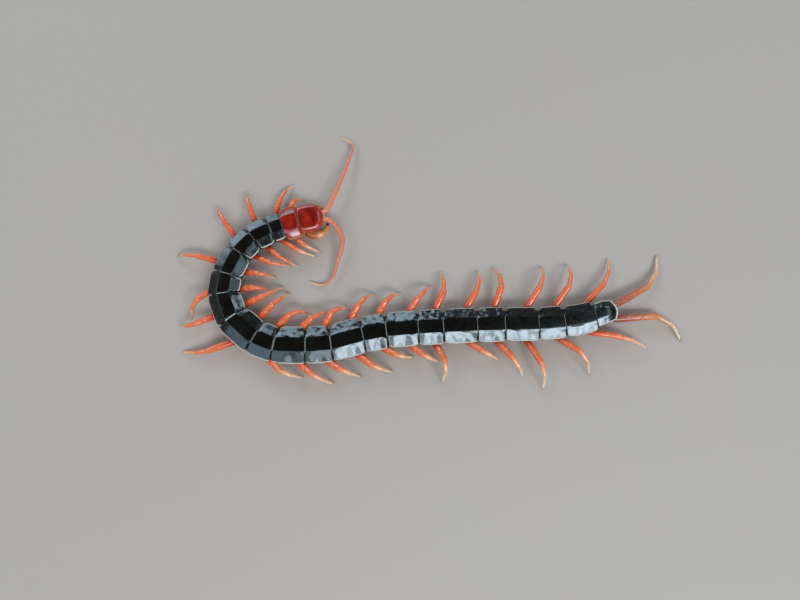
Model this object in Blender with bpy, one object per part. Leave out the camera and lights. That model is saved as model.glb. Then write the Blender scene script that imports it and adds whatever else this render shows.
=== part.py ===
"""Centipede: a still, life-size model of a large tropical centipede, curled at the head end.

Metres, +Z up. The floor is z = 0 and every leg stands on it. +X runs from the hook of the body
towards the trailing last legs. The body is laid out from the head backwards as a chain of rigid
lengths, one for each back plate, and the legs, forcipules and antennae are placed from them.
"""

import cmath
import math

import bmesh
import bpy
from mathutils import Vector

MM = 0.001
GAP = 0.3 * MM

# Body axis: where the neck is, and each length with its heading (towards the head, from +X)
NECK_X = -38.8 * MM
NECK_Y = 10.5 * MM
HEAD_LENGTH = 7.6 * MM
HEAD_WIDTH = 8.5 * MM
HEAD_HEADING = 12.5
SEGMENT_LENGTHS = (
    5.2, 3.7, 5.9, 6.1, 7.5, 6.1, 7.8,
    9.1, 6.2, 9.2, 7.4, 9.6, 7.0, 9.4,
    7.4, 10.0, 8.1, 9.9, 7.7, 9.3, 6.8,
)
SEGMENT_HEADINGS = (
    18, 22, 27, 47, 65, 83, 112,
    140, 159, 178.5, 184.5, 195, 191, 185,
    183, 182.5, 181.5, 180.5, 184.5, 188, 195.5,
)
SEGMENT_WIDTHS = (
    9.7, 8.7, 9.0, 8.8, 9.2, 9.5, 9.8,
    10.4, 10.5, 11.0, 11.0, 10.9, 10.7, 10.6,
    10.5, 10.4, 10.3, 10.0, 9.7, 9.2, 7.3,
)
SEGMENT_COUNT = len(SEGMENT_LENGTHS)
# The tail end lies a little to the right of the body's line, from and to these places counted in segments
TAIL_SHIFT = 0.6 * MM
TAIL_SHIFT_FROM = 19.3
TAIL_SHIFT_TO = 20.5

# Half cross-section of the trunk: share of the half width, height in mm, and whether it is back plate
TRUNK_SECTION = (
    (0.00, 6.9, True),
    (0.38, 6.84, True),
    (0.70, 6.25, True),
    (0.92, 5.6, True),
    (1.00, 5.1, True),
    (0.95, 4.7, True),
    (0.90, 3.9, False),
    (0.88, 2.9, False),
    (0.80, 1.9, False),
    (0.60, 1.2, False),
    (0.00, 1.0, False),
)
# Along one segment: share of its length, share of its width, drop of the back plate in mm
PLATE_STATIONS = (
    (0.0, 0.90, 0.28), (0.1, 0.97, 0.06), (0.5, 1.0, 0.0), (0.88, 1.0, 0.0), (0.985, 0.97, 0.03),
)
LAST_PLATE_STATIONS = (
    (0.0, 0.92, 0.28), (0.1, 1.0, 0.06), (0.5, 0.98, 0.0), (0.85, 0.9, 0.15), (1.0, 0.74, 0.4),
)

# Head: half cross-section as above, and stations from the neck forwards
HEAD_SECTION = (
    (0.00, 6.3, True),
    (0.38, 6.2, True),
    (0.72, 5.7, True),
    (0.93, 5.05, True),
    (1.00, 4.6, True),
    (0.94, 4.3, True),
    (0.82, 3.6, False),
    (0.60, 3.1, False),
    (0.00, 3.0, False),
)
HEAD_STATIONS = (
    (0.02, 0.93, 0.1), (0.12, 0.99, 0.0), (0.45, 1.0, 0.0), (0.70, 0.95, 0.15),
    (0.86, 0.84, 0.4), (0.95, 0.68, 0.75), (1.0, 0.5, 1.15),
)
# Forcipular plate: the shelf under the head that carries the forcipules
SHELF_STATIONS = ((-0.16, 3.3), (0.2, 3.7), (0.5, 3.3), (0.68, 2.6))
SHELF_BOTTOM = 1.0
SHELF_TOP = 2.6

# Forcipule: forward from the neck, out from the middle, height and radius, all in mm
FORCIPULE_ROUTE = (
    (1.4, 2.7, 1.9, 1.30),
    (2.7, 4.2, 1.95, 1.30),
    (4.2, 4.8, 2.0, 1.20),
    (5.7, 4.8, 2.0, 1.00),
    (7.0, 4.2, 1.95, 0.80),
    (7.9, 3.1, 1.9, 0.58),
    (8.2, 1.9, 1.85, 0.42),
    (8.0, 0.9, 1.8, 0.26),
)
# The left forcipule is drawn in under the head
FORCIPULE_SPREAD = {1: 0.82, -1: 1.0}

# Antennae: starting point in the head, then each length in mm, its heading, and the height at its end
ANTENNA_FORWARD = 6.4
ANTENNA_OUT = 1.0
ANTENNA_HEIGHT = 4.1
ANTENNA_LEFT = (
    (2.3, 24, 4.2), (6.3, 65, 4.4), (5.9, 70, 3.8), (4.3, 72, 3.0),
    (4.8, 75, 2.2), (3.1, 77, 1.5), (0.9, 112, 1.3), (4.6, 149, 0.7),
)
ANTENNA_RIGHT = (
    (2.2, 2, 4.2), (3.3, -40, 4.4), (4.4, -61, 4.2), (3.1, -93, 3.6), (3.6, -110, 2.9),
    (5.4, -105, 2.0), (3.1, -134, 1.4), (2.4, -180, 1.0), (3.1, -201, 0.7),
)
ANTENNA_BASE_RADIUS = 0.78
ANTENNA_TIP_RADIUS = 0.27
# Each antenna is a row of articles, a little wider at their far ends
ANTENNA_ARTICLES = 18
ARTICLE_NECK = 0.86

# Ocelli: a low oval pad with four lenses at each front corner of the head
EYE_FORWARD = 6.0
EYE_OUT = 3.15
EYE_HEIGHT = 4.85
EYE_PAD = (0.72, 0.5, 0.34)
LENS_RADIUS = 0.24
LENS_PLACES = ((0.36, 0.0), (0.0, 0.24), (0.0, -0.24), (-0.36, 0.0))

# Walking legs 1 to 20 of each side: sweep of the foot towards the tail (0 = straight out), bend in
# plan from root to tip, both in degrees, and the reach from root to foot in mm
LEGS_RIGHT = (
    (-42, -40, 9.2), (-43, -30, 11.8), (-31, -30, 11.4), (-29, -42, 11.2), (-16, -12, 9.6),
    (-6, -2, 9.8), (-5, -26, 13.2), (7, -4, 13.0), (41, 42, 12.2), (53, 10, 11.7),
    (51, 52, 10.8), (51, 26, 12.8), (52, 32, 11.5), (45, 10, 12.8), (14, -46, 14.0),
    (24, -30, 14.8), (6, -47, 14.5), (26, -23, 16.3), (27, -38, 16.5), (41, -38, 19.7),
)
LEGS_LEFT = (
    (-57, -24, 7.2), (-44, -29, 13.8), (-7, -3, 13.3), (-13, -7, 14.7), (15, 11, 15.2),
    (60, 24, 11.9), (-5, -37, 12.4), (-39, -24, 17.4), (81, 36, 13.3), (60, 22, 13.6),
    (60, 20, 12.2), (48, 32, 12.6), (61, 40, 10.3), (55, 28, 11.2), (9, -44, 12.4),
    (58, 22, 12.0), (36, -6, 14.4), (19, -28, 16.1), (38, -34, 15.4), (68, -14, 20.1),
)
ULTIMATE_RIGHT = (60, -52, 23.5)
ULTIMATE_LEFT = (58, -66, 21.4)
# In plan a leg is three straight lengths, with half of its bend at each of the two joints between them
LEG_LENGTHS = (0.55, 0.23, 0.22)
LEG_ROOT_SHARE = 0.62
LEG_ROOT_OUT = 0.70
LEG_ROOT_HEIGHT = 2.9 * MM
ULTIMATE_ROOT_SHARE = 0.90
ULTIMATE_ROOT_OUT = 0.50
LEG_LENGTH_FRONT = 12.0 * MM
LEG_LENGTH_MIDDLE = 16.5 * MM
LEG_LENGTH_REAR = 21.0 * MM
REAR_LEGS_FROM = 16
TALLEST_ARCH = 3.2 * MM
# Share of the way from root to foot, and radius in mm: each joint of the leg is a narrower ring
LEG_PROFILE = (
    (0.0, 0.95), (0.14, 1.08), (0.34, 1.16), (0.38, 1.00), (0.53, 1.04),
    (0.57, 0.76), (0.76, 0.66), (0.80, 0.50), (0.92, 0.40), (1.0, 0.30),
)
ULTIMATE_PROFILE = (
    (0.0, 1.05), (0.12, 1.18), (0.33, 1.22), (0.36, 1.04), (0.54, 1.08), (0.57, 0.90),
    (0.76, 0.84), (0.80, 0.64), (0.87, 0.56), (0.89, 0.46), (0.97, 0.36), (1.0, 0.28),
)
FOOT_RADIUS = 0.25 * MM
FOOT_DROP = 0.4 * MM
SPINE_LENGTH = 1.1 * MM
SPINE_RADIUS = 0.32 * MM
# Spines on the first article of the last legs: share of the leg, turn round it in degrees
SPINE_PLACES = ((0.16, 110), (0.24, 60), (0.33, 90))

TUBE_SIDES_SETTING = 2
ANTENNA_SIDES_SETTING = 1
ANTENNA_STEPS = 8
FORCIPULE_STEPS = 2
# A corner of a grown outline moves out by at most this many times the growth
MITRE_LIMIT = 2.0

RED = (0.30, 0.015, 0.008, 1.0)
BLACK = (0.012, 0.013, 0.015, 1.0)
ORANGE = (0.72, 0.12, 0.03, 1.0)
CORAL = (0.66, 0.12, 0.07, 1.0)
AMBER = (0.60, 0.22, 0.05, 1.0)
LENS = (0.02, 0.01, 0.008, 1.0)


def clear_scene():
    for thing in list(bpy.data.objects):
        bpy.data.objects.remove(thing, do_unlink=True)


def collection_named(name):
    made = bpy.data.collections.new(name)
    bpy.context.scene.collection.children.link(made)
    return made


def material_named(name, colour, roughness):
    made = bpy.data.materials.new(name)
    made.use_nodes = True
    shader = made.node_tree.nodes["Principled BSDF"]
    shader.inputs["Base Color"].default_value = colour
    shader.inputs["Roughness"].default_value = roughness
    shader.inputs["Metallic"].default_value = 0.0
    return made


def direction(degrees):
    angle = math.radians(degrees)
    return Vector((math.cos(angle), math.sin(angle), 0.0))


def body_joints():
    """The plan point at the front of each segment, and the tail end."""
    points = [Vector((NECK_X, NECK_Y, 0.0))]
    for length, heading in zip(SEGMENT_LENGTHS, SEGMENT_HEADINGS):
        points.append(points[-1] - direction(heading) * length * MM)
    return points


JOINTS = body_joints()


def skew_at(index, share):
    """Turn of a cross-section away from square, so that neighbours meet on the bisecting plane."""
    heading = SEGMENT_HEADINGS[index]
    before = HEAD_HEADING if index == 0 else SEGMENT_HEADINGS[index - 1]
    after = SEGMENT_HEADINGS[index + 1] if index + 1 < SEGMENT_COUNT else heading
    return (before - heading) / 2 * (1 - share) + (after - heading) / 2 * share


def grown_outline(outline, grow):
    """A closed 2D outline pushed outwards all round."""
    if not grow:
        return outline
    count = len(outline)
    pushed = []
    for i, (x, z) in enumerate(outline):
        back = Vector(outline[i - 1])
        ahead = Vector(outline[(i + 1) % count])
        here = Vector((x, z))
        first = (here - back).normalized()
        second = (ahead - here).normalized()
        turned = Vector((-(first.y + second.y), first.x + second.x))
        reach = grow * min(2.0 / turned.length, MITRE_LIMIT)
        normal = turned.normalized()
        pushed.append((x + normal.x * reach, z + normal.y * reach))
    return pushed


def section_outline(section, half_width, plate_share, drop, grow=0.0):
    """The whole cross-section as (out, height) points, from the middle of the back round to it again."""
    half = []
    for share, height, is_plate in section:
        out = half_width * share * (plate_share if is_plate else 1.0)
        half.append((out, (height - (drop if is_plate else 0.0)) * MM))
    mirrored = [(-out, height) for out, height in reversed(half[1:-1])]
    # Counter-clockwise seen from behind, so that a grown outline moves outwards.
    return grown_outline(half + mirrored, grow)


def ring_at(centre, heading, outline):
    left = direction(heading + 90)
    return [centre + left * out + Vector((0, 0, height)) for out, height in outline]


def loft(name, rings):
    """A closed mesh through rings of equal count, capped at both ends."""
    mesh = bpy.data.meshes.new(name)
    bm = bmesh.new()
    loops = [[bm.verts.new(point) for point in ring] for ring in rings]
    for near, far in zip(loops, loops[1:]):
        for i in range(len(near)):
            j = (i + 1) % len(near)
            bm.faces.new((near[i], near[j], far[j], far[i]))
    bm.faces.new(list(reversed(loops[0])))
    bm.faces.new(loops[-1])
    bmesh.ops.recalc_face_normals(bm, faces=bm.faces)
    bm.to_mesh(mesh)
    bm.free()
    return mesh


def put(name, mesh, material, collection, location=(0, 0, 0), turn=0.0):
    thing = bpy.data.objects.new(name, mesh)
    thing.location = location
    thing.rotation_euler[2] = turn
    mesh.materials.clear()
    mesh.materials.append(material)
    mesh.shade_smooth()
    mesh.set_sharp_from_angle(angle=math.radians(40))
    collection.objects.link(thing)
    return thing


def evaluated_mesh(thing):
    graph = bpy.context.evaluated_depsgraph_get()
    return bpy.data.meshes.new_from_object(thing.evaluated_get(graph), depsgraph=graph)


def apply_modifiers(thing):
    """Keeps the evaluated mesh as the object's own, and drops its modifiers."""
    bpy.context.view_layer.update()
    mesh = evaluated_mesh(thing)
    thing.modifiers.clear()
    old = thing.data
    thing.data = mesh
    bpy.data.meshes.remove(old)


def combine(thing, others, operation):
    """Cuts or joins the others with the object, and removes them."""
    helper = bpy.data.collections.new("helper")
    bpy.context.scene.collection.children.link(helper)
    for other in others:
        for holder in list(other.users_collection):
            holder.objects.unlink(other)
        helper.objects.link(other)
    boolean = thing.modifiers.new("combine", "BOOLEAN")
    boolean.operation = operation
    boolean.operand_type = "COLLECTION"
    boolean.collection = helper
    boolean.solver = "EXACT"
    apply_modifiers(thing)
    for other in others:
        bpy.data.objects.remove(other, do_unlink=True)
    bpy.data.collections.remove(helper)
    keep_largest(thing.data)


def keep_largest(mesh):
    """Removes all but the largest closed surface."""
    bm = bmesh.new()
    bm.from_mesh(mesh)
    unseen = set(bm.faces)
    pieces = []
    while unseen:
        stack = [unseen.pop()]
        piece = list(stack)
        while stack:
            face = stack.pop()
            for edge in face.edges:
                for other in edge.link_faces:
                    if other in unseen:
                        unseen.remove(other)
                        stack.append(other)
                        piece.append(other)
        pieces.append(piece)
    pieces.sort(key=lambda piece: sum(face.calc_area() for face in piece))
    for piece in pieces[:-1]:
        bmesh.ops.delete(bm, geom=piece, context="FACES")
    bm.to_mesh(mesh)
    bm.free()


def tail_shift(place):
    """How far the body lies to the right of its line, at a place counted in segments."""
    share = min(max((place - TAIL_SHIFT_FROM) / (TAIL_SHIFT_TO - TAIL_SHIFT_FROM), 0.0), 1.0)
    return TAIL_SHIFT * share * share * (3 - 2 * share)


def trunk_rings(first, last, grow=0.0, ends=GAP / 2):
    """Rings from segment first to segment last, each end set back by ends from its joint plane.

    A grown trunk cuts the legs clear: its plates have full width, and at each joint the wider
    of the two segments reaches past it.
    """
    rings = []
    rear_share = PLATE_STATIONS[-1][0]
    for index in range(first, last + 1):
        heading = SEGMENT_HEADINGS[index]
        forward = direction(heading)
        stations = PLATE_STATIONS if index < SEGMENT_COUNT - 1 else LAST_PLATE_STATIONS
        for share, width_share, drop in stations:
            width = SEGMENT_WIDTHS[index]
            centre = JOINTS[index].lerp(JOINTS[index + 1], share)
            if index == first and share == 0.0:
                centre = centre - forward * ends
            elif grow and share == 0.0:
                width = max(width, SEGMENT_WIDTHS[index - 1])
                centre = centre - forward * grow
            elif grow and share == rear_share:
                width = max(width, SEGMENT_WIDTHS[index + 1])
                centre = centre + forward * grow
            elif share == 1.0:
                centre = centre - forward * grow
            if grow:
                width_share, drop = max(width_share, 1.0), 0.0
            outline = section_outline(TRUNK_SECTION, width * MM / 2, width_share, drop, grow)
            centre = centre - direction(heading + 90) * tail_shift(index + share)
            rings.append(ring_at(centre, heading + skew_at(index, share), outline))
    if last < SEGMENT_COUNT - 1:
        centre = JOINTS[last + 1] + direction(SEGMENT_HEADINGS[last]) * ends
        rings[-1] = ring_at(centre, SEGMENT_HEADINGS[last] + skew_at(last, 1.0), outline)
    return rings


def head_point(forward, out, height):
    """A point given in mm from the neck: forward, out to the left, and up."""
    plan = JOINTS[0] + direction(HEAD_HEADING) * forward * MM + direction(HEAD_HEADING + 90) * out * MM
    return plan + Vector((0, 0, height * MM))


def head_rings(grow=0.0):
    rings = []
    neck_skew = (SEGMENT_HEADINGS[0] - HEAD_HEADING) / 2
    for share, width_share, drop in HEAD_STATIONS:
        centre = head_point(share * HEAD_LENGTH / MM, 0, 0)
        if grow:
            centre = centre + direction(HEAD_HEADING) * grow * (1 if share > 0.5 else -1)
        outline = section_outline(HEAD_SECTION, HEAD_WIDTH / 2, width_share, drop, grow)
        rings.append(ring_at(centre, HEAD_HEADING + neck_skew * (1 - share), outline))
    return rings


def shelf_rings(grow=0.0):
    rings = []
    for share, half_width in SHELF_STATIONS:
        bottom = SHELF_BOTTOM * MM - grow
        top = SHELF_TOP * MM + grow
        out = half_width * MM + grow
        inner = out * 0.75
        outline = [(inner, top), (out, (top + bottom) / 2), (inner, bottom), (-inner, bottom)]
        outline += [(-out, (top + bottom) / 2), (-inner, top)]
        centre = head_point(share * HEAD_LENGTH / MM, 0, 0)
        if grow and share > 0.5:
            centre = centre + direction(HEAD_HEADING) * grow
        rings.append(ring_at(centre, HEAD_HEADING, outline))
    return rings


def cutter(name, rings, helpers, material):
    return put(name, loft(name, rings), material, helpers)


def smooth_route(points, steps):
    """Points on one smooth curve through the given ones (Catmull-Rom), with radius as fourth value."""
    route = []
    last = len(points) - 1
    for i in range(last):
        before = points[max(i - 1, 0)]
        start = points[i]
        end = points[i + 1]
        after = points[min(i + 2, last)]
        for step in range(steps):
            t = step / steps
            blend = (
                -0.5 * t + t * t - 0.5 * t**3,
                1 - 2.5 * t * t + 1.5 * t**3,
                0.5 * t + 2 * t * t - 1.5 * t**3,
                -0.5 * t * t + 0.5 * t**3,
            )
            around = (before, start, end, after)
            route.append([sum(b * p[k] for b, p in zip(blend, around)) for k in range(4)])
    route.append(list(points[last]))
    return route


def tube(name, route, material, collection, location=(0, 0, 0), turn=0.0, sides_setting=TUBE_SIDES_SETTING):
    """A closed tube along (x, y, z, radius) points, made as a curve and turned into a mesh."""
    data = bpy.data.curves.new(name, "CURVE")
    data.dimensions = "3D"
    data.twist_mode = "MINIMUM"
    data.bevel_depth = MM
    data.bevel_resolution = sides_setting
    data.use_fill_caps = True
    spline = data.splines.new("POLY")
    spline.points.add(len(route) - 1)
    for point, (x, y, z, radius) in zip(spline.points, route):
        point.co = (x, y, z, 1.0)
        point.radius = radius / MM
    curve = bpy.data.objects.new(name + "_curve", data)
    collection.objects.link(curve)
    bpy.context.view_layer.update()
    mesh = evaluated_mesh(curve)
    bpy.data.objects.remove(curve, do_unlink=True)
    mesh.name = name
    bm = bmesh.new()
    bm.from_mesh(mesh)
    bmesh.ops.remove_doubles(bm, verts=bm.verts, dist=1e-7)
    bmesh.ops.recalc_face_normals(bm, faces=bm.faces)
    bm.to_mesh(mesh)
    bm.free()
    return put(name, mesh, material, collection, location, turn)


def leg_length(number):
    """Real length of a walking leg: short at the head, longest just before the tail."""
    if number <= 4:
        return LEG_LENGTH_FRONT + (LEG_LENGTH_MIDDLE - LEG_LENGTH_FRONT) * (number - 1) / 3
    if number < REAR_LEGS_FROM:
        return LEG_LENGTH_MIDDLE
    rear = (number - REAR_LEGS_FROM) / (20 - REAR_LEGS_FROM)
    return LEG_LENGTH_MIDDLE + (LEG_LENGTH_REAR - LEG_LENGTH_MIDDLE) * rear


def leg_plan(pose, share):
    """The leg's line in plan, in metres from its root: straight out (real) and to the rear (imaginary)."""
    sweep, bend, reach = pose
    here = complex(0.0, 0.0)
    foot = complex(0.0, 0.0)
    left = share
    for joint, length in enumerate(LEG_LENGTHS):
        heading = cmath.rect(1.0, math.radians(bend) * joint / 2)
        gone = min(left, length)
        here += heading * gone
        foot += heading * length
        left -= gone
    return here / foot * cmath.rect(reach * MM, math.radians(sweep))


def leg_point(pose, rear, arch, share):
    """A point of the leg's middle line: x straight out, y along the body, in metres from the root."""
    plan = leg_plan(pose, share)
    height = LEG_ROOT_HEIGHT * (1 - share**3) + FOOT_DROP * share**3
    height += arch * 6.75 * share * share * (1 - share)
    return Vector((plan.real, rear * plan.imag, height))


def arch_of(pose, length):
    """How high the leg arches, so that its own length fits between root and foot."""
    low = 0.0
    high = TALLEST_ARCH
    steps = 24
    for _ in range(12):
        arch = (low + high) / 2
        points = [leg_point(pose, 1, arch, i / steps) for i in range(steps + 1)]
        if sum((b - a).length for a, b in zip(points, points[1:])) < length:
            low = arch
        else:
            high = arch
    return low


def leg_route(pose, rear, length, profile, girth):
    arch = arch_of(pose, length)
    route = []
    for share, radius in profile:
        route.append([*leg_point(pose, rear, arch, share), radius * MM * girth])
    foot = route[-1]
    route.append([foot[0], foot[1], 0.0, FOOT_RADIUS])
    return route


def leg_base(number, side, root_share, root_out):
    """Root of a leg on the floor plan, and the turn that makes +X point straight out of the body."""
    index = number - 1
    heading = SEGMENT_HEADINGS[index]
    outwards = heading + 90 * side
    centre = JOINTS[index].lerp(JOINTS[index + 1], root_share)
    root = centre + direction(outwards) * SEGMENT_WIDTHS[index] * MM / 2 * root_out
    return root, math.radians(outwards)


def spine_on(route, share, turn, material, helpers, side):
    """A short spine that stands on the leg's side, as a cone with its root sunk in."""
    place = share * (len(route) - 2)
    low = int(place)
    start = Vector(route[low][:3]).lerp(Vector(route[low + 1][:3]), place - low)
    radius = route[low][3]
    along = (Vector(route[low + 1][:3]) - Vector(route[low][:3])).normalized()
    side_axis = along.cross(Vector((0, 0, 1))).normalized() * side
    up_axis = side_axis.cross(along).normalized() * side
    angle = math.radians(turn)
    out = side_axis * math.cos(angle) + up_axis * math.sin(angle)
    lean = (out * 0.8 + along * 0.6).normalized()
    foot = start + out * (radius - 0.35 * MM)
    mesh = bpy.data.meshes.new("spine")
    bm = bmesh.new()
    bmesh.ops.create_cone(
        bm, cap_ends=True, segments=5, radius1=SPINE_RADIUS, radius2=SPINE_RADIUS * 0.25, depth=SPINE_LENGTH
    )
    bm.to_mesh(mesh)
    bm.free()
    cone = put("spine", mesh, material, helpers)
    cone.rotation_mode = "QUATERNION"
    cone.rotation_quaternion = Vector((0, 0, 1)).rotation_difference(lean)
    cone.location = foot + lean * SPINE_LENGTH / 2
    return cone


def place_in_world(thing):
    """Applies the object's place to its mesh."""
    bpy.context.view_layer.update()
    thing.data.transform(thing.matrix_world)
    thing.location = (0, 0, 0)
    thing.rotation_euler = (0, 0, 0)


def build_trunk(parts, helpers, black, red):
    spans = [(0, 0)] + [(i, i + 1) for i in range(1, SEGMENT_COUNT, 2)]
    for first, last in spans:
        name = f"trunk_{first + 1:02d}" if first == last else f"trunk_{first + 1:02d}_{last + 1:02d}"
        mesh = loft(name, trunk_rings(first, last))
        length = put(name, mesh, red if first == 0 else black, parts)
        if first == 0:
            combine(length, [cutter("shelf", shelf_rings(), helpers, red)], "UNION")


def build_leg(number, side, parts, helpers, material):
    pose = (LEGS_LEFT if side > 0 else LEGS_RIGHT)[number - 1]
    root, turn = leg_base(number, side, LEG_ROOT_SHARE, LEG_ROOT_OUT)
    girth = SEGMENT_WIDTHS[number - 1] / 11.0 * (1.0 if number > 1 else 0.85)
    name = f"leg_{'left' if side > 0 else 'right'}_{number:02d}"
    route = leg_route(pose, side, leg_length(number), LEG_PROFILE, girth)
    leg = tube(name, route, material, parts, root, turn)
    place_in_world(leg)
    first = max(number - 3, 0)
    last = min(number + 1, SEGMENT_COUNT - 1)
    body = cutter("body", trunk_rings(first, last, GAP, -GAP), helpers, material)
    combine(leg, [body], "DIFFERENCE")


def build_ultimate_leg(side, parts, helpers, material):
    pose = ULTIMATE_LEFT if side > 0 else ULTIMATE_RIGHT
    root, turn = leg_base(SEGMENT_COUNT, side, ULTIMATE_ROOT_SHARE, ULTIMATE_ROOT_OUT)
    name = f"ultimate_leg_{'left' if side > 0 else 'right'}"
    route = leg_route(pose, side, 0.0, ULTIMATE_PROFILE, 1.0)
    leg = tube(name, route, material, parts, root, turn)
    spines = [spine_on(route, share, angle, material, helpers, -side) for share, angle in SPINE_PLACES]
    for spine in spines:
        spine.matrix_world = leg.matrix_world @ spine.matrix_world
    place_in_world(leg)
    combine(leg, spines, "UNION")
    body = cutter("body", trunk_rings(SEGMENT_COUNT - 2, SEGMENT_COUNT - 1, GAP, -GAP), helpers, material)
    combine(leg, [body], "DIFFERENCE")


def build_head(parts, helpers, red):
    head = put("head", loft("head", head_rings()), red, parts)
    combine(head, [eye_pad("socket", side, red, helpers, GAP) for side in (1, -1)], "DIFFERENCE")


def eye_pad(name, side, material, collection, grow=0.0):
    mesh = bpy.data.meshes.new(name)
    bm = bmesh.new()
    bmesh.ops.create_uvsphere(bm, u_segments=12, v_segments=8, radius=1.0)
    bmesh.ops.scale(bm, vec=[half * MM + grow for half in EYE_PAD], verts=bm.verts)
    bm.to_mesh(mesh)
    bm.free()
    pad = put(name, mesh, material, collection)
    pad.rotation_euler = (math.radians(-35 * side), math.radians(12), math.radians(HEAD_HEADING - 25 * side))
    pad.location = head_point(EYE_FORWARD, EYE_OUT * side, EYE_HEIGHT)
    return pad


def build_ocelli(side, parts, helpers, material):
    name = f"ocelli_{'left' if side > 0 else 'right'}"
    pad = eye_pad(name, side, material, parts)
    bpy.context.view_layer.update()
    lenses = []
    for along, across in LENS_PLACES:
        mesh = bpy.data.meshes.new("lens")
        bm = bmesh.new()
        bmesh.ops.create_uvsphere(bm, u_segments=8, v_segments=6, radius=LENS_RADIUS * MM)
        bm.to_mesh(mesh)
        bm.free()
        lens = put("lens", mesh, material, helpers)
        rise = 1 - (along / EYE_PAD[0]) ** 2 - (across / EYE_PAD[1]) ** 2
        spot = Vector((along, across, EYE_PAD[2] * math.sqrt(rise))) * MM
        lens.location = pad.matrix_world @ spot
        lenses.append(lens)
    combine(pad, lenses, "UNION")


def build_forcipule(side, parts, helpers, material):
    name = f"forcipule_{'left' if side > 0 else 'right'}"
    points = []
    spread = side * FORCIPULE_SPREAD[side]
    for forward, out, height, radius in FORCIPULE_ROUTE:
        points.append((*head_point(forward, out * spread, height), radius * MM))
    fang = tube(name, smooth_route(points, FORCIPULE_STEPS), material, parts)
    cutters = [
        cutter("shelf", shelf_rings(GAP), helpers, material),
        cutter("neck", trunk_rings(0, 1, GAP, -GAP / 2), helpers, material),
        cutter("crown", head_rings(GAP), helpers, material),
    ]
    combine(fang, cutters, "DIFFERENCE")


def point_along(route, share):
    """The point at a share of the route's length."""
    points = [Vector(point[:3]) for point in route]
    steps = [(b - a).length for a, b in zip(points, points[1:])]
    left = share * sum(steps)
    for start, end, step in zip(points, points[1:], steps):
        if left <= step:
            return start.lerp(end, left / step)
        left -= step
    return points[-1]


def antenna_route(lengths, start):
    """The antenna's points and radii, two for each article: a narrow neck and a wider far end."""
    here = start
    points = [(here.x, here.y, ANTENNA_HEIGHT * MM, 0.0)]
    for length, heading, height in lengths:
        here = here + direction(heading) * length * MM
        points.append((here.x, here.y, height * MM, 0.0))
    smooth = smooth_route(points, ANTENNA_STEPS)
    route = []
    for article in range(ANTENNA_ARTICLES):
        for inside, width in ((0.12, ARTICLE_NECK), (0.88, 1.0)):
            share = (article + inside) / ANTENNA_ARTICLES
            radius = ANTENNA_BASE_RADIUS + (ANTENNA_TIP_RADIUS - ANTENNA_BASE_RADIUS) * share
            route.append([*point_along(smooth, share), radius * width * MM])
    route.append([*point_along(smooth, 1.0), ANTENNA_TIP_RADIUS * ARTICLE_NECK * MM])
    return route


def build_antenna(side, parts, helpers, material):
    name = f"antenna_{'left' if side > 0 else 'right'}"
    start = head_point(ANTENNA_FORWARD, ANTENNA_OUT * side, 0)
    route = antenna_route(ANTENNA_LEFT if side > 0 else ANTENNA_RIGHT, start)
    feeler = tube(name, route, material, parts, sides_setting=ANTENNA_SIDES_SETTING)
    combine(feeler, [cutter("crown", head_rings(GAP), helpers, material)], "DIFFERENCE")


def build():
    clear_scene()
    parts = collection_named("centipede")
    helpers = collection_named("cutters")
    red = material_named("red cuticle", RED, 0.25)
    black = material_named("black cuticle", BLACK, 0.2)
    orange = material_named("orange cuticle", ORANGE, 0.35)
    coral = material_named("coral cuticle", CORAL, 0.4)
    amber = material_named("amber cuticle", AMBER, 0.3)
    lens = material_named("ocellus", LENS, 0.1)
    build_trunk(parts, helpers, black, red)
    build_head(parts, helpers, red)
    for side in (1, -1):
        build_ocelli(side, parts, helpers, lens)
        build_antenna(side, parts, helpers, coral)
        build_forcipule(side, parts, helpers, amber)
        for number in range(1, SEGMENT_COUNT):
            build_leg(number, side, parts, helpers, orange)
        build_ultimate_leg(side, parts, helpers, orange)
    stand = bpy.data.objects.new("centipede_root", None)
    parts.objects.link(stand)
    for thing in parts.objects:
        if thing.type == "MESH":
            thing.parent = stand


build()
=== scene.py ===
"""Centipede: the finished surface of a still, life-size model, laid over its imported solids.

Metres, in the frame of the solids: +Z up, the floor at z = 0, the hook of the body at -X and the
last legs at +X. The body is a chain of rigid back plates over one soft skin. Each leg, feeler and
poison claw follows the same middle line as the solid that it takes the place of.
"""

import cmath
import math

import bpy
from mathutils import Matrix, Vector, noise


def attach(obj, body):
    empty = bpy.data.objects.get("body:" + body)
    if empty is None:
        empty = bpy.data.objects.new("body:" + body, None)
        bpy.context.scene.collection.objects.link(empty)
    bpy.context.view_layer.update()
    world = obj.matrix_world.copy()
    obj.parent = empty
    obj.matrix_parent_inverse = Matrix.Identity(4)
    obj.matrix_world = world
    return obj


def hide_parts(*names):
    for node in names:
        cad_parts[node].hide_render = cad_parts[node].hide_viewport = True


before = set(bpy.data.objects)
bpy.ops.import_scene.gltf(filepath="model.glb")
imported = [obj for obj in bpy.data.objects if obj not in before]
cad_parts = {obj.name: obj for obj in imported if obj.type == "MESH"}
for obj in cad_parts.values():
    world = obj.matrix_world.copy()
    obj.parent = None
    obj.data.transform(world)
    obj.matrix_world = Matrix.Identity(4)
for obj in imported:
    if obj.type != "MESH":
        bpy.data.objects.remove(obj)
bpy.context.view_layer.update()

bl_info = {
    "name": "Centipede model",
    "version": (1, 0, 0),
    "blender": (4, 5, 0),
    "location": "3D View > Sidebar > Centipede",
    "description": "Models the surface of a life-size centipede over its solids",
    "category": "Object",
}

MM = 0.001
ROOT = "root"
LEFT = 1
RIGHT = -1
SIDES = ((LEFT, "left"), (RIGHT, "right"))
UP = Vector((0, 0, 1))

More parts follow.
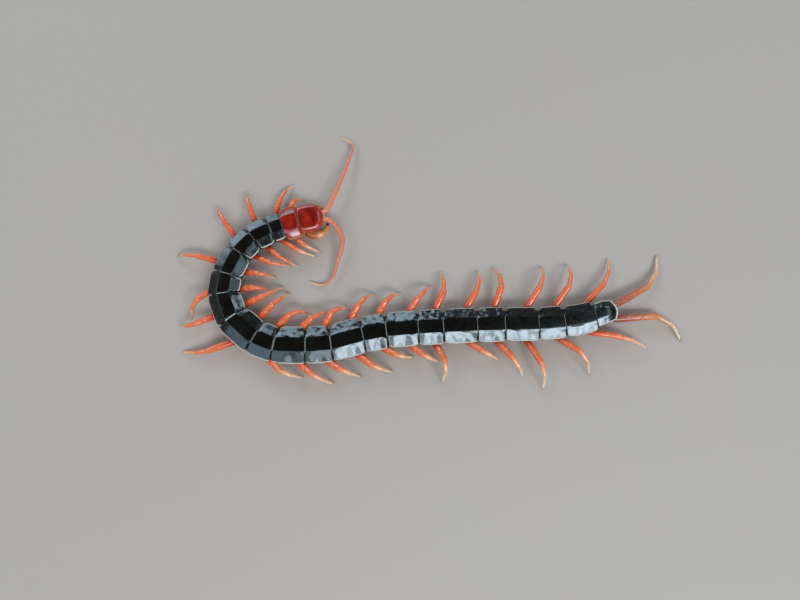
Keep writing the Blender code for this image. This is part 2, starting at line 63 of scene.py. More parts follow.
# Body axis: each length in mm with its heading in degrees (towards the head, from +X) and width in mm
SEGMENT_LENGTHS = (
    5.2, 3.7, 5.9, 6.1, 7.5, 6.1, 7.8,
    9.1, 6.2, 9.2, 7.4, 9.6, 7.0, 9.4,
    7.4, 10.0, 8.1, 9.9, 7.7, 9.3, 6.8,
)
SEGMENT_HEADINGS = (
    18, 22, 27, 47, 65, 83, 112,
    140, 159, 178.5, 184.5, 195, 191, 185,
    183, 182.5, 181.5, 180.5, 184.5, 188, 195.5,
)
SEGMENT_WIDTHS = (
    9.7, 8.7, 9.0, 8.8, 9.2, 9.5, 9.8,
    10.4, 10.5, 11.0, 11.0, 10.9, 10.7, 10.6,
    10.5, 10.4, 10.3, 10.0, 9.7, 9.2, 7.3,
)
SEGMENTS = len(SEGMENT_LENGTHS)
LAST = SEGMENTS - 1
# How far the tail end lies to the right of the body's line, in mm
TAIL_SHIFT = 0.6
# Segments that breathe through a pair of spiracles
SPIRACLE_SEGMENTS = (3, 5, 8, 10, 12, 14, 16, 18, 20)

# Cross-section of a back plate: flat in the middle, then a break, then a flank that steepens
PLATE_TOP = 6.86
MIDDLE_SHARE = 0.37
MIDDLE_DROP = 0.04
FLANK_SLOPE = 0.39
MARGIN_DROP = 0.44
PLATE_THICKNESS = 0.22

# Cross-section of the soft skin: share of the half width, and height in mm
SKIN_SECTION = (
    (0.0, 6.05), (0.35, 6.0), (0.66, 5.4), (0.84, 4.85), (0.88, 4.4), (0.88, 3.7),
    (0.85, 2.8), (0.77, 1.9), (0.54, 1.2), (0.0, 1.05),
)

# Walking legs 1 to 20: sweep of the foot towards the tail and bend in plan, in degrees, and reach in mm
WALKING_LEGS = {
    RIGHT: (
        (-42, -40, 9.2), (-43, -30, 11.8), (-31, -30, 11.4), (-29, -42, 11.2), (-16, -12, 9.6),
        (-6, -2, 9.8), (-5, -26, 13.2), (7, -4, 13.0), (41, 42, 12.2), (53, 10, 11.7),
        (51, 52, 10.8), (51, 26, 12.8), (52, 32, 11.5), (45, 10, 12.8), (14, -46, 14.0),
        (24, -30, 14.8), (6, -47, 14.5), (26, -23, 16.3), (27, -38, 16.5), (41, -38, 19.7),
    ),
    LEFT: (
        (-57, -24, 7.2), (-44, -29, 13.8), (-7, -3, 13.3), (-13, -7, 14.7), (15, 11, 15.2),
        (60, 24, 11.9), (-5, -37, 12.4), (-39, -24, 17.4), (81, 36, 13.3), (60, 22, 13.6),
        (60, 20, 12.2), (48, 32, 12.6), (61, 40, 10.3), (55, 28, 11.2), (9, -44, 12.4),
        (58, 22, 12.0), (36, -6, 14.4), (19, -28, 16.1), (38, -34, 15.4), (68, -14, 20.1),
    ),
}
LAST_LEGS = {RIGHT: (60, -52, 23.5), LEFT: (58, -66, 21.4)}
# Place of a leg's root: share of its segment, and share of the half width
LEG_ROOT = (0.62, 0.70)
LAST_LEG_ROOT = (0.90, 0.50)
# Real length of a walking leg in mm by its number: short at the head, longest just before the tail
LENGTHS_BY_NUMBER = ((1, 12.0), (4, 16.5), (16, 16.5), (20, 21.0))
# In plan a leg is three straight lengths, with half of its bend at each of the two joints between them
LEG_LENGTHS = (0.55, 0.23, 0.22)
# Most legs stay orange almost to the claw: (place on the leg, place in the run of colours)
LATE_TONES = ((0.0, 0.0), (0.55, 0.42), (0.82, 0.56), (1.0, 0.90))
# Walking legs whose thin last articles are painted pale all along: a painted highlight on the legs that
# point south, towards the bright windows
LIT_PALE_LEGS = {LEFT: range(9, SEGMENTS), RIGHT: range(1, 3)}
TALLEST_ARCH = 3.2
# Makes an arch of share^2 (1 - share) one high at its top, two thirds along the leg
ARCH_SCALE = 27 / 4
# Soft joint: its radius as a share of the article's end, and how far it lies before that end
JOINT_SHARE = 0.98
JOINT_SINK = 0.006
FIRST_LEG_GIRTH = 0.85
LAST_CLAW_GIRTH = 1.2
CLAW_TIP_HEIGHT = 0.06

# Articles of a walking leg: share of the leg at both ends, then (share, radius in mm) along the article
LEG_ARTICLES = (
    (-0.02, 0.130, ((0.0, 0.90), (0.3, 1.02), (0.75, 1.10), (1.0, 1.02))),
    (0.100, 0.365, ((0.0, 0.95), (0.12, 1.06), (0.45, 1.14), (0.80, 1.17), (0.94, 1.13), (1.0, 1.00))),
    (0.345, 0.560, ((0.0, 0.94), (0.12, 1.03), (0.5, 1.07), (0.88, 1.05), (1.0, 0.90))),
    (0.540, 0.785, ((0.0, 0.70), (0.12, 0.79), (0.5, 0.76), (0.88, 0.68), (1.0, 0.58))),
    (0.768, 0.908, ((0.0, 0.50), (0.15, 0.56), (0.5, 0.52), (0.88, 0.47), (1.0, 0.41))),
    (0.893, 0.982, ((0.0, 0.36), (0.2, 0.41), (0.6, 0.35), (1.0, 0.22))),
)
LAST_LEG_ARTICLES = (
    (0.0, 0.350, ((0.0, 0.92), (0.1, 1.02), (0.4, 1.07), (0.8, 1.10), (0.95, 1.06), (1.0, 0.95))),
    (0.335, 0.560, ((0.0, 0.88), (0.1, 0.98), (0.5, 1.03), (0.9, 1.00), (1.0, 0.86))),
    (0.545, 0.785, ((0.0, 0.70), (0.12, 0.80), (0.5, 0.78), (0.9, 0.71), (1.0, 0.60))),
    (0.770, 0.888, ((0.0, 0.53), (0.15, 0.60), (0.5, 0.55), (0.9, 0.49), (1.0, 0.42))),
    (0.875, 0.982, ((0.0, 0.38), (0.2, 0.44), (0.6, 0.37), (1.0, 0.23))),
)
CLAW_FROM = 0.968
# Spines on the first article of the last legs: share of that article, and turn round it in degrees
SPINES = ((0.34, 118), (0.52, 70), (0.70, 104), (0.93, 88), (0.60, 32))
THORN = ((0.0, 0.24), (0.5, 0.15), (1.0, 0.03))
# Root of a spine from the leg's middle line, and its length, in mm
SPINE_OUT = 0.95
SPINE_LENGTH = 0.85

# Feelers: lengths in mm, each with its heading and the height at its end
FEELERS = {
    LEFT: (
        (2.3, 24, 4.2), (6.3, 65, 4.4), (5.9, 70, 3.8), (4.3, 72, 3.0),
        (4.8, 75, 2.2), (3.1, 77, 1.5), (0.9, 112, 1.3), (4.6, 149, 0.7),
    ),
    RIGHT: (
        (2.2, 2, 4.2), (3.3, -40, 4.4), (4.4, -61, 4.2), (3.1, -93, 3.6), (3.6, -110, 2.9),
        (5.4, -105, 2.0), (3.1, -134, 1.4), (2.4, -180, 1.0), (3.1, -201, 0.7),
    ),
}
# Root of a feeler: forward from the neck, out from the middle and height in mm
FEELER_FROM = (6.4, 1.0, 4.1)
# Radius in mm by the share of the feeler's length
FEELER_PROFILE = ((0.0, 0.90), (0.35, 0.72), (0.70, 0.50), (1.0, 0.28))
FEELER_ARTICLES = 18
# Unit shapes of an article and of the last one: (share of its length, share of its radius)
FEELER_ARTICLE = ((0.0, 0.82), (0.12, 0.94), (0.5, 0.98), (0.88, 1.02), (1.0, 0.90))
FEELER_TIP = ((0.0, 0.82), (0.15, 0.95), (0.6, 0.85), (0.9, 0.55), (1.0, 0.2))
# How far an article's end is hidden in the one before it, as a share of the feeler
FEELER_OVERLAP = 0.004

# Poison claw: forward from the neck, out from the middle, height and radius in mm
POISON_CLAW = (
    (1.4, 2.7, 1.9, 1.30), (2.7, 4.2, 1.95, 1.30), (4.2, 4.8, 2.0, 1.20), (5.7, 4.8, 2.0, 1.00),
    (7.0, 4.2, 1.95, 0.80), (7.9, 3.1, 1.9, 0.58), (8.2, 1.9, 1.85, 0.42), (8.0, 0.9, 1.8, 0.26),
)
# The left poison claw is drawn in under the head
CLAW_SPREAD = {LEFT: 0.82, RIGHT: 1.0}
CLAW_ARTICLES = ((0.0, 0.42), (0.37, 0.56), (0.53, 0.85))
FANG = (0.82, 1.0)
# The hard surface lies a little outside the solid's
CLAW_FULLNESS = 1.08
# Eye cluster, in mm: its place as for the claws, half axes of its pad, and its lenses
EYE_PLACE = (6.0, 3.25, 4.72)
EYE_PAD = (0.72, 0.5, 0.30)
LENS = (0.2, 0.2, 0.17)
LENS_SINK = 0.04
LENS_PLACES = ((0.36, 0.0), (0.0, 0.24), (0.0, -0.24), (-0.36, 0.0))


def linear(text):
    """An sRGB hex colour as linear RGBA."""
    channels = [int(text[i:i + 2], 16) / 255 for i in (1, 3, 5)]
    return [c / 12.92 if c <= 0.04045 else ((c + 0.055) / 1.055) ** 2.4 for c in channels] + [1.0]


def colour_property(name, description, text):
    """A colour that the panel shows, from its sRGB hex value."""
    return bpy.props.FloatVectorProperty(
        name=name,
        description=description,
        default=linear(text),
        size=4,
        min=0.0,
        max=1.0,
        subtype="COLOR",
    )


def length_property(name, description, millimetres):
    """A length that the panel shows, given in mm."""
    return bpy.props.FloatProperty(
        name=name, description=description, default=millimetres * MM, unit="LENGTH", precision=4
    )


def angle_property(name, description, degrees):
    """An angle that the panel shows, given in degrees."""
    return bpy.props.FloatProperty(
        name=name, description=description, default=math.radians(degrees), subtype="ANGLE"
    )


class CentipedeSizes(bpy.types.PropertyGroup):
    """Sizes of the centipede, as its solids have them."""

    neck_x: length_property("Neck X", "Place of the neck along X", -38.8)
    neck_y: length_property("Neck Y", "Place of the neck along Y", 10.5)
    head_heading: angle_property("Head heading", "Direction that the head points in, from +X", 12.5)
    head_length: length_property("Head length", "Neck to the front of the head", 7.6)
    head_width: length_property("Head width", "Width of the head plate", 8.5)
    leg_root_height: length_property("Leg root height", "Height of the leg roots over the floor", 2.9)
    foot_height: length_property("Foot height", "Height of the middle line at the foot", 0.4)
    wave: length_property("Plate waves", "Depth of the soft waves in the flanks of the plates", 0.125)
    suture: length_property("Suture depth", "Depth of the two lines along each back plate", 0.015)


class CentipedeColours(bpy.types.PropertyGroup):
    """Colours of the centipede's cuticle."""

    black: colour_property("Black plate", "Back plates", "#0d0804")
    green: colour_property("Green plate", "Tinge of the back plates", "#10120b")
    # The colour of the pale rims, which at the rear of the plates is partly a painted highlight
    rim: colour_property("Plate rim", "Thin rims of the back plates", "#e6dfce")
    red: colour_property("Red plate", "Head plate and first back plate", "#a01c0c")
    red_dark: colour_property("Dark red", "Darker clouds in the red plates", "#5c0c06")
    leg_root: colour_property("Leg root", "Legs at the body", "#ba300d")
    leg_middle: colour_property("Leg", "Thick articles of the legs", "#f26431")
    leg_end: colour_property("Leg end", "Thin last articles of the legs", "#fab68a")
    feeler: colour_property("Feeler", "Feelers", "#ea7a5a")
    amber: colour_property("Amber", "Poison claws", "#eea766")
    claw: colour_property("Claw", "Fangs and spiracles", "#1c0c06")
    skin: colour_property("Skin", "Soft skin between the plates", "#6d634e")


class CentipedeStage(bpy.types.PropertyGroup):
    """Camera and light."""

    aim_x: length_property("Aim X", "Point on the floor in the middle of the picture, X", -7.9)
    aim_y: length_property("Aim Y", "Point on the floor in the middle of the picture, Y", -13.4)
    distance: length_property("Distance", "Camera to that point", 190.0)
    elevation: angle_property("Elevation", "Camera's angle over the floor", 78.0)
    lens: bpy.props.FloatProperty(name="Lens", description="Focal length", default=28.0, unit="CAMERA")
    floor: colour_property("Floor", "Plain floor", "#bca79b")


def sizes():
    return bpy.context.scene.centipede_sizes


def chosen(name):
    """A colour of the panel, as linear RGBA."""
    return list(getattr(bpy.context.scene.centipede_colours, name))


# Nodes and materials


def add_node(tree, kind, settings=None, values=None, links=None):
    """Adds a node with its settings, input values and linked inputs, and returns it."""
    node = tree.nodes.new(kind)
    for name, value in (settings or {}).items():
        setattr(node, name, value)
    for name, value in (values or {}).items():
        node.inputs[name].default_value = value
    for name, source in (links or {}).items():
        tree.links.new(source, node.inputs[name])
    return node


def new_material(name):
    """A material with its tree, its Principled shader and the object's own coordinates."""
    made = bpy.data.materials.new(name)
    made.use_nodes = True
    tree = made.node_tree
    place = add_node(tree, "ShaderNodeTexCoord").outputs["Object"]
    return made, tree, tree.nodes["Principled BSDF"], place


def noise_in(tree, place, grain, detail=3.0):
    """Noise whose features are grain millimetres wide."""
    values = {"Scale": 1.0 / (grain * MM), "Detail": detail, "Roughness": 0.55}
    return add_node(tree, "ShaderNodeTexNoise", values=values, links={"Vector": place}).outputs["Fac"]


def cells_in(tree, place, grain, feature="F1"):
    """Distance to the middle of cells that are grain millimetres wide."""
    values = {"Scale": 1 / (grain * MM)}
    return add_node(
        tree, "ShaderNodeTexVoronoi", {"feature": feature}, values, {"Vector": place}
    ).outputs["Distance"]


def ramp(tree, factor, stops):
    """A colour ramp with (place, colour) stops."""
    node = add_node(tree, "ShaderNodeValToRGB", links={"Fac": factor})
    elements = node.color_ramp.elements
    while len(elements) < len(stops):
        elements.new(0.5)
    for element, (place, colour) in zip(elements, stops):
        element.position = place
        element.color = colour
    return node.outputs["Color"]


def mixed(tree, factor, first, second):
    """Mixes two colours, each a socket or a value."""
    node = add_node(tree, "ShaderNodeMix", {"data_type": "RGBA"})
    for socket, source in (("Factor", factor), (6, first), (7, second)):
        if isinstance(source, bpy.types.NodeSocket):
            tree.links.new(source, node.inputs[socket])
        else:
            node.inputs[socket].default_value = source
    return node.outputs[2]


def spread(tree, value, low, high, to_low, to_high):
    """Maps a value from one range to another, clamped."""
    values = {"From Min": low, "From Max": high, "To Min": to_low, "To Max": to_high}
    return add_node(tree, "ShaderNodeMapRange", values=values, links={"Value": value}).outputs["Result"]


def attribute(tree, name):
    """The float that a piece has under this name at each point of its mesh."""
    return add_node(tree, "ShaderNodeAttribute", {"attribute_name": name}).outputs["Fac"]


def bumped(tree, shader, layers):
    """Stacks bumps on the shader: (height socket, strength, depth in mm)."""
    normal = None
    for height, strength, depth in layers:
        links = {"Height": height}
        if normal:
            links["Normal"] = normal
        values = {"Strength": strength, "Distance": depth * MM}
        normal = add_node(tree, "ShaderNodeBump", values=values, links=links).outputs["Normal"]
    tree.links.new(normal, shader.inputs["Normal"])


def set_gloss(shader, roughness, coat, coat_roughness, ior=1.54):
    """Cuticle is a waxed, layered horn: a clear gloss over a duller body."""
    shader.inputs["Roughness"].default_value = roughness
    shader.inputs["IOR"].default_value = ior
    shader.inputs["Coat Weight"].default_value = coat
    shader.inputs["Coat Roughness"].default_value = coat_roughness
    shader.inputs["Coat IOR"].default_value = 1.5


def set_glow(shader, weight, radius, depth):
    """Light that enters thin cuticle and leaves it redder, depth millimetres away."""
    shader.inputs["Subsurface Weight"].default_value = weight
    shader.inputs["Subsurface Radius"].default_value = radius
    shader.inputs["Subsurface Scale"].default_value = depth * MM


def black_cuticle():
    """Sclerotised chitin, tanned black: mirror-like, with faint wrinkles and pits."""
    made, tree, shader, place = new_material("black_sclerotised_chitin")
    cloud = noise_in(tree, place, 3.5)
    base = mixed(tree, spread(tree, cloud, 0.4, 0.7, 0, 1), chosen("black"), chosen("green"))
    # The pale rims; at the rear of each plate they are partly a painted highlight
    rim = attribute(tree, "rim")
    base = mixed(tree, rim, base, chosen("rim"))
    tree.links.new(base, shader.inputs["Base Color"])
    polish = spread(tree, noise_in(tree, place, 1.2), 0.3, 0.7, 0.13, 0.26)
    # The pale rims are 0.3 rougher than the black
    links = {0: rim, 2: polish}
    dull = add_node(tree, "ShaderNodeMath", {"operation": "MULTIPLY_ADD"}, {1: 0.3}, links)
    tree.links.new(dull.outputs["Value"], shader.inputs["Roughness"])
    set_gloss(shader, 0.2, 0.5, 0.08)
    pits = cells_in(tree, place, 0.35)
    layers = (
        (noise_in(tree, place, 1.6, 4.0), 0.4, 0.04),
        (spread(tree, pits, 0.0, 0.25, 0.0, 1.0), 0.18, 0.01),
        (noise_in(tree, place, 0.25, 2.0), 0.12, 0.01),
    )
    bumped(tree, shader, layers)
    return made


def red_cuticle():
    """The same chitin where it is tanned red: clouded, clear and very glossy."""
    made, tree, shader, place = new_material("red_sclerotised_chitin")
    cloud = noise_in(tree, place, 2.6, 4.0)
    stops = (
        (0.30, chosen("red_dark")),
        (0.52, chosen("red")),
        (0.75, linear("#be3212")),
    )
    base = ramp(tree, cloud, stops)
    # The sides of the red plates are painted lighter: painted light on the flanks
    base = mixed(tree, attribute(tree, "flank"), base, linear("#b83414"))
    # The pale rims; at the rear of the first plate they are partly a painted highlight
    base = mixed(tree, attribute(tree, "rim"), base, linear("#d68a6a"))
    tree.links.new(base, shader.inputs["Base Color"])
    polish = spread(tree, noise_in(tree, place, 1.0), 0.3, 0.7, 0.18, 0.28)
    tree.links.new(polish, shader.inputs["Roughness"])
    set_gloss(shader, 0.3, 0.5, 0.10)
    set_glow(shader, 0.12, (1.0, 0.25, 0.12), 0.6)
    pits = cells_in(tree, place, 0.4)
    layers = (
        (noise_in(tree, place, 1.8, 4.0), 0.35, 0.05),
        (spread(tree, pits, 0.0, 0.2, 0.0, 1.0), 0.2, 0.012),
    )
    bumped(tree, shader, layers)
    return made


def leg_cuticle(name, stops, roughness):
    """Thin, half-clear chitin over red tissue: deeper at the root, paler where the leg thins; on the
    walking legs that face the bright windows that pale end is partly a painted highlight.
    """
    made, tree, shader, place = new_material(name)
    base = ramp(tree, attribute(tree, "along"), stops)
    cloud = noise_in(tree, place, 1.4, 4.0)
    base = mixed(tree, spread(tree, cloud, 0.35, 0.65, 0.0, 0.16), base, linear("#d04c20"))
    base = mixed(tree, attribute(tree, "rim"), base, linear("#f6a860"))
    tree.links.new(base, shader.inputs["Base Color"])
    set_gloss(shader, roughness, 0.6, 0.08)
    set_glow(shader, 0.2, (1.0, 0.35, 0.15), 0.5)
    layers = (
        (noise_in(tree, place, 0.7, 4.0), 0.4, 0.04),
        (noise_in(tree, place, 0.2, 2.0), 0.25, 0.01),
    )
    bumped(tree, shader, layers)
    return made


def walking_leg_cuticle():
    """Orange chitin that thins to a pale yellow at the foot; on the legs that face the bright windows
    the pale stops are a painted highlight.
    """
    stops = (
        (0.06, chosen("leg_root")),
        (0.24, chosen("leg_middle")),
        (0.53, linear("#f2743c")),
        (0.62, linear("#fa9c6a")),
        (0.80, chosen("leg_end")),
        (0.95, linear("#f8daac")),
    )
    return leg_cuticle("orange_leg_chitin", stops, 0.24)


def last_leg_cuticle():
    """The last legs are browner at the root and end in a cream tint."""
    stops = (
        (0.0, linear("#963818")),
        (0.32, linear("#c4602c")),
        (0.53, linear("#d67e42")),
        (0.64, linear("#dc9668")),
        (0.82, linear("#e8bc90")),
        (0.97, linear("#ecdcb6")),
    )
    return leg_cuticle("brown_orange_leg_chitin", stops, 0.24)


def feeler_cuticle():
    """Feelers are clothed in hairs too short to see, which dull the gloss past the first articles."""
    stops = (
        (0.0, linear("#ee8462")),
        (0.35, chosen("feeler")),
        (0.78, linear("#e27e58")),
        (0.88, linear("#e6ac74")),
        (1.0, linear("#ecc88e")),
    )
    return leg_cuticle("coral_feeler_chitin", stops, 0.42)


def amber_cuticle():
    """Clear amber chitin of the poison claws, darker towards the tips."""
    stops = (
        (0.0, linear("#b24c1c")),
        (0.35, chosen("amber")),
        (0.75, linear("#d07a2c")),
        (1.0, linear("#7a3010")),
    )
    return leg_cuticle("amber_chitin", stops, 0.22)


def small_chitin(name, stops, clouds, gloss, relief):
    """Chitin of a small part: tints in clouds or along the part, and one fine relief."""
    made, tree, shader, place = new_material(name)
    factor = noise_in(tree, place, *clouds) if clouds else attribute(tree, "along")
    tree.links.new(ramp(tree, factor, stops), shader.inputs["Base Color"])
    set_gloss(shader, *gloss)
    grain, strength, depth = relief
    bumped(tree, shader, ((noise_in(tree, place, *grain), strength, depth),))
    return made


def horn_claw():
    """The claws of the legs are clear horn, brown only where it is thick."""
    stops = ((0.1, linear("#d9a470")), (0.9, linear("#6a3a1c")))
    return small_chitin("clear_brown_claw_chitin", stops, None, (0.25, 0.4, 0.1), ((0.15,), 0.2, 0.01))


def claw_chitin():
    """Fangs are chitin tanned almost black, polished by use."""
    stops = ((0.3, chosen("claw")), (0.8, linear("#4a2210")))
    return small_chitin("dark_claw_chitin", stops, (0.5,), (0.22, 0.4, 0.1), ((0.15,), 0.2, 0.01))


def pale_sclerite():
    """Thin tan chitin of the belly plates, the lip and the last segment's sides."""
    stops = ((0.3, linear("#7b4a30")), (0.55, linear("#b98a63")), (0.8, linear("#d9bd94")))
    return small_chitin("tan_chitin", stops, (1.2, 4.0), (0.3, 0.3, 0.12), ((0.6, 4.0), 0.4, 0.04))


def brown_sclerite():
    """Small side plates: thin chitin, brown to nearly black, set in the skin."""
    stops = ((0.35, linear("#1c1510")), (0.6, linear("#4a3826")), (0.8, linear("#7d6848")))
    return small_chitin("brown_chitin", stops, (1.1, 4.0), (0.24, 0.4, 0.1), ((0.5, 4.0), 0.4, 0.03))


def lens_cuticle():
    """Simple eyes: clear domes over dark pigment."""
    stops = ((0.3, linear("#060403")), (0.8, linear("#1c0d08")))
    return small_chitin("eye_lens", stops, (0.4,), (0.08, 1.0, 0.03), ((0.2,), 0.05, 0.005))


def soft_skin():
    """Pleural membrane: leathery grey skin, folded, with small paler plates."""
    made, tree, shader, place = new_material("pleural_membrane")
    cloud = noise_in(tree, place, 2.4, 6.0)
    stops = ((0.30, linear("#37322a")), (0.52, chosen("skin")), (0.75, linear("#b3a684")))
    # From 3.5 mm up, where the skin lies under the back plates, it is painted near black: painted shade
    height = add_node(tree, "ShaderNodeSeparateXYZ", links={"Vector": place}).outputs["Z"]
    shade_under_plates = spread(tree, height, 3.5 * MM, 4.1 * MM, 0.0, 1.0)
    base = mixed(tree, shade_under_plates, ramp(tree, cloud, stops), linear("#090807"))
    tree.links.new(base, shader.inputs["Base Color"])
    set_gloss(shader, 0.55, 0.0, 0.2, 1.38)
    wrinkles = cells_in(tree, place, 0.45, "SMOOTH_F1")
    layers = (
        (noise_in(tree, place, 0.9, 5.0), 0.6, 0.12),
        (wrinkles, 0.5, 0.06),
        (noise_in(tree, place, 0.18, 2.0), 0.3, 0.015),
    )
    bumped(tree, shader, layers)
    return made


def floor_paint():
    """Plain matt paint, with the faintest clouds so that it doesn't look flat."""
    made, tree, shader, place = new_material("matt_floor_paint")
    cloud = noise_in(tree, place, 40.0, 3.0)
    pale = list(bpy.context.scene.centipede_stage.floor)
    base = mixed(tree, spread(tree, cloud, 0.3, 0.7, 0.0, 0.05), pale, linear("#a9a69f"))
    tree.links.new(base, shader.inputs["Base Color"])
    set_gloss(shader, 0.6, 0.0, 0.1, 1.45)
    bumped(tree, shader, ((noise_in(tree, place, 0.8), 0.05, 0.02),))
    return made


# The body's middle line and places on it


def direction(degrees):
    """A unit vector in plan."""
    angle = math.radians(degrees)
    return Vector((math.cos(angle), math.sin(angle), 0.0))


def head_heading():
    """Direction that the head points in, in degrees."""
    return math.degrees(sizes().head_heading)


def body_joints():
    """The plan point at the front of each segment, and the tail end."""
    points = [Vector((sizes().neck_x, sizes().neck_y, 0.0))]
    for length, heading in zip(SEGMENT_LENGTHS, SEGMENT_HEADINGS):
        points.append(points[-1] - direction(heading) * length * MM)
    return points


def skew_at(index, share):
    """Turn of a cross-section away from square, so that neighbours meet on the bisecting plane."""
    heading = SEGMENT_HEADINGS[index]
    before = head_heading() if index == 0 else SEGMENT_HEADINGS[index - 1]
    after = SEGMENT_HEADINGS[index + 1] if index < LAST else heading
    return (before - heading) / 2 * (1 - share) + (after - heading) / 2 * share


def trunk_point(joints, index, share, out, height):
    """A point of a segment: share of its length from the front, out to the left and up in metres."""
    centre = joints[index].lerp(joints[index + 1], share)
    turn = SEGMENT_HEADINGS[index] + skew_at(index, share) + 90
    out -= TAIL_SHIFT * MM * smooth_step(index + share, LAST - 0.7, LAST + 0.5)
    return centre + direction(turn) * out + Vector((0, 0, height))


def head_point(forward, out, height):
    """A point given in mm from the neck: forward, out to the left, and up."""
    neck = Vector((sizes().neck_x, sizes().neck_y, 0.0))
    plan = neck + direction(head_heading()) * forward * MM + direction(head_heading() + 90) * out * MM
    return plan + Vector((0, 0, height * MM))


def half_width(index):
    """Half of a segment's width, in metres."""
    return SEGMENT_WIDTHS[index] * MM / 2


def stepped(value, corners):
    """Straight runs between (place, value) corners."""
    for (x0, y0), (x1, y1) in zip(corners, corners[1:]):
        if value <= x1:
            return y0 + (y1 - y0) * (value - x0) / (x1 - x0)
    return corners[-1][1]


def smooth_step(value, low, high):
    """A smooth rise from 0 at low to 1 at high."""
    share = min(max((value - low) / (high - low), 0.0), 1.0)
    return share * share * (3 - 2 * share)


def smooth_route(points, steps):
    """Points on one smooth curve through the given ones (Catmull-Rom)."""
    route = []
    last = len(points) - 1
    for i in range(last):
        around = (points[max(i - 1, 0)], points[i], points[i + 1], points[min(i + 2, last)])
        for step in range(steps):
            t = step / steps
            blend = (
                -0.5 * t + t * t - 0.5 * t**3,
                1 - 2.5 * t * t + 1.5 * t**3,
                0.5 * t + 2 * t * t - 1.5 * t**3,
                -0.5 * t * t + 0.5 * t**3,
            )
            route.append([sum(b * p[k] for b, p in zip(blend, around)) for k in range(4)])
    route.append(list(points[last]))
    return route


def point_along(route, share):
    """The point, with its fourth value, at a share of the route's length."""
    points = [Vector(point) for point in route]
    steps = [(b - a).to_3d().length for a, b in zip(points, points[1:])]
    left = share * sum(steps)
    for start, end, step in zip(points, points[1:], steps):
        if left <= step:
            return start.lerp(end, left / step)
        left -= step
    return points[-1]


# Modelling helpers


def deselect():
    """Goes back to object mode and selects nothing."""
    if bpy.context.mode != "OBJECT":
        bpy.ops.object.mode_set(mode="OBJECT")
    bpy.ops.object.select_all(action="DESELECT")


def selected_alone(thing):
    """Makes this the only selected object, and the active one."""
    deselect()
    thing.select_set(True)
    bpy.context.view_layer.objects.active = thing


def apply_modifier(thing, name, kind, **settings):
    """Adds a modifier, sets it up and applies it."""
    selected_alone(thing)
    modifier = thing.modifiers.new(name, kind)
    for key, value in settings.items():
        setattr(modifier, key, value)
    bpy.ops.object.modifier_apply(modifier=name)


def faces_outwards(thing, merge=0.0):
    """Merges doubles and turns all faces outwards, in edit mode."""
    selected_alone(thing)
    bpy.ops.object.mode_set(mode="EDIT")
    bpy.ops.mesh.select_all(action="SELECT")
    if merge:
        bpy.ops.mesh.remove_doubles(threshold=merge)
    bpy.ops.mesh.normals_make_consistent(inside=False)
    bpy.ops.object.mode_set(mode="OBJECT")


def closed(tube):
    """Fills the open ends of a tube."""
    selected_alone(tube)
    bpy.ops.object.mode_set(mode="EDIT")
    bpy.ops.mesh.select_all(action="SELECT")
    bpy.ops.mesh.fill_holes(sides=0)
    bpy.ops.object.mode_set(mode="OBJECT")
    faces_outwards(tube)
    return tube


def paint(thing, name, values):
    """Keeps a float for each vertex on the mesh."""
    layer = thing.data.attributes.new(name, "FLOAT", "POINT")
    layer.data.foreach_set("value", values)


def finish(thing, name, material, slot, nodes=()):
    """Names the piece, gives it its finish and ties it to the frame."""
    thing.name = name
    thing.data.name = name
    thing.data.materials.clear()
    thing.data.materials.append(material)
    selected_alone(thing)
    bpy.ops.object.transform_apply(location=True, rotation=True, scale=True)
    bpy.ops.object.shade_smooth_by_angle(angle=math.radians(50))
    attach(thing, ROOT)
    if nodes:
        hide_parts(*nodes)
    deselect()


def sheet(cells, place, **painted):
    """A grid of cells moved point by point to place(u, v), u and v from 0 to 1, and painted by name."""
    deselect()
    bpy.ops.mesh.primitive_grid_add(x_subdivisions=cells[0], y_subdivisions=cells[1], size=2.0)
    thing = bpy.context.object
    spots = [((vertex.co.x + 1) / 2, (vertex.co.y + 1) / 2) for vertex in thing.data.vertices]
    for vertex, (u, v) in zip(thing.data.vertices, spots):
        vertex.co = place(u, v)
    for name, value in painted.items():
        paint(thing, name, [value(u, v) for u, v in spots])
    return thing


def faces_up(thing):
    """Turns an open sheet so that it faces up."""
    if sum(polygon.normal.z for polygon in thing.data.polygons) < 0:
        thing.data.flip_normals()


def add_shell(thing, millimetres):
    """Gives an open sheet its thickness, inwards from its face."""
    apply_modifier(thing, "shell", "SOLIDIFY", thickness=millimetres * MM, offset=-1.0)


def wrapped(cells, place, along=None):
    """A grid rolled into a tube, whose seam is closed, and whose poles close where place brings their
    points together. place(u, a) repeats at a = 1.
    """
    thing = sheet(cells, lambda u, v: place(u, v % 1.0 if v < 1.0 else 0.0))
    if along:
        count = cells[1] + 1
        paint(thing, "along", [along(i // count / cells[0]) for i in range(len(thing.data.vertices))])
    faces_outwards(thing, 1e-7)
    return thing


def turned(stations, sides=14):
    """A straight article along +X: a disc extruded and resized at each (share, radius) station."""
    deselect()
    first = stations[0][1]
    turn = (0.0, math.radians(90), 0.0)
    bpy.ops.mesh.primitive_circle_add(vertices=sides, radius=first, fill_type="NGON", rotation=turn)
    thing = bpy.context.object
    bpy.ops.object.transform_apply(location=True, rotation=True, scale=True)
    bpy.ops.object.mode_set(mode="EDIT")
    bpy.ops.mesh.select_all(action="SELECT")
    for (x0, r0), (x1, r1) in zip(stations, stations[1:]):
        step = (x1 - x0, 0.0, 0.0)
        bpy.ops.mesh.extrude_region_move(TRANSFORM_OT_translate={"value": step})
        bpy.ops.transform.resize(value=(1.0, r1 / r0, r1 / r0), center_override=(x1, 0.0, 0.0))
    bpy.ops.object.mode_set(mode="OBJECT")
    faces_outwards(thing)
    return thing


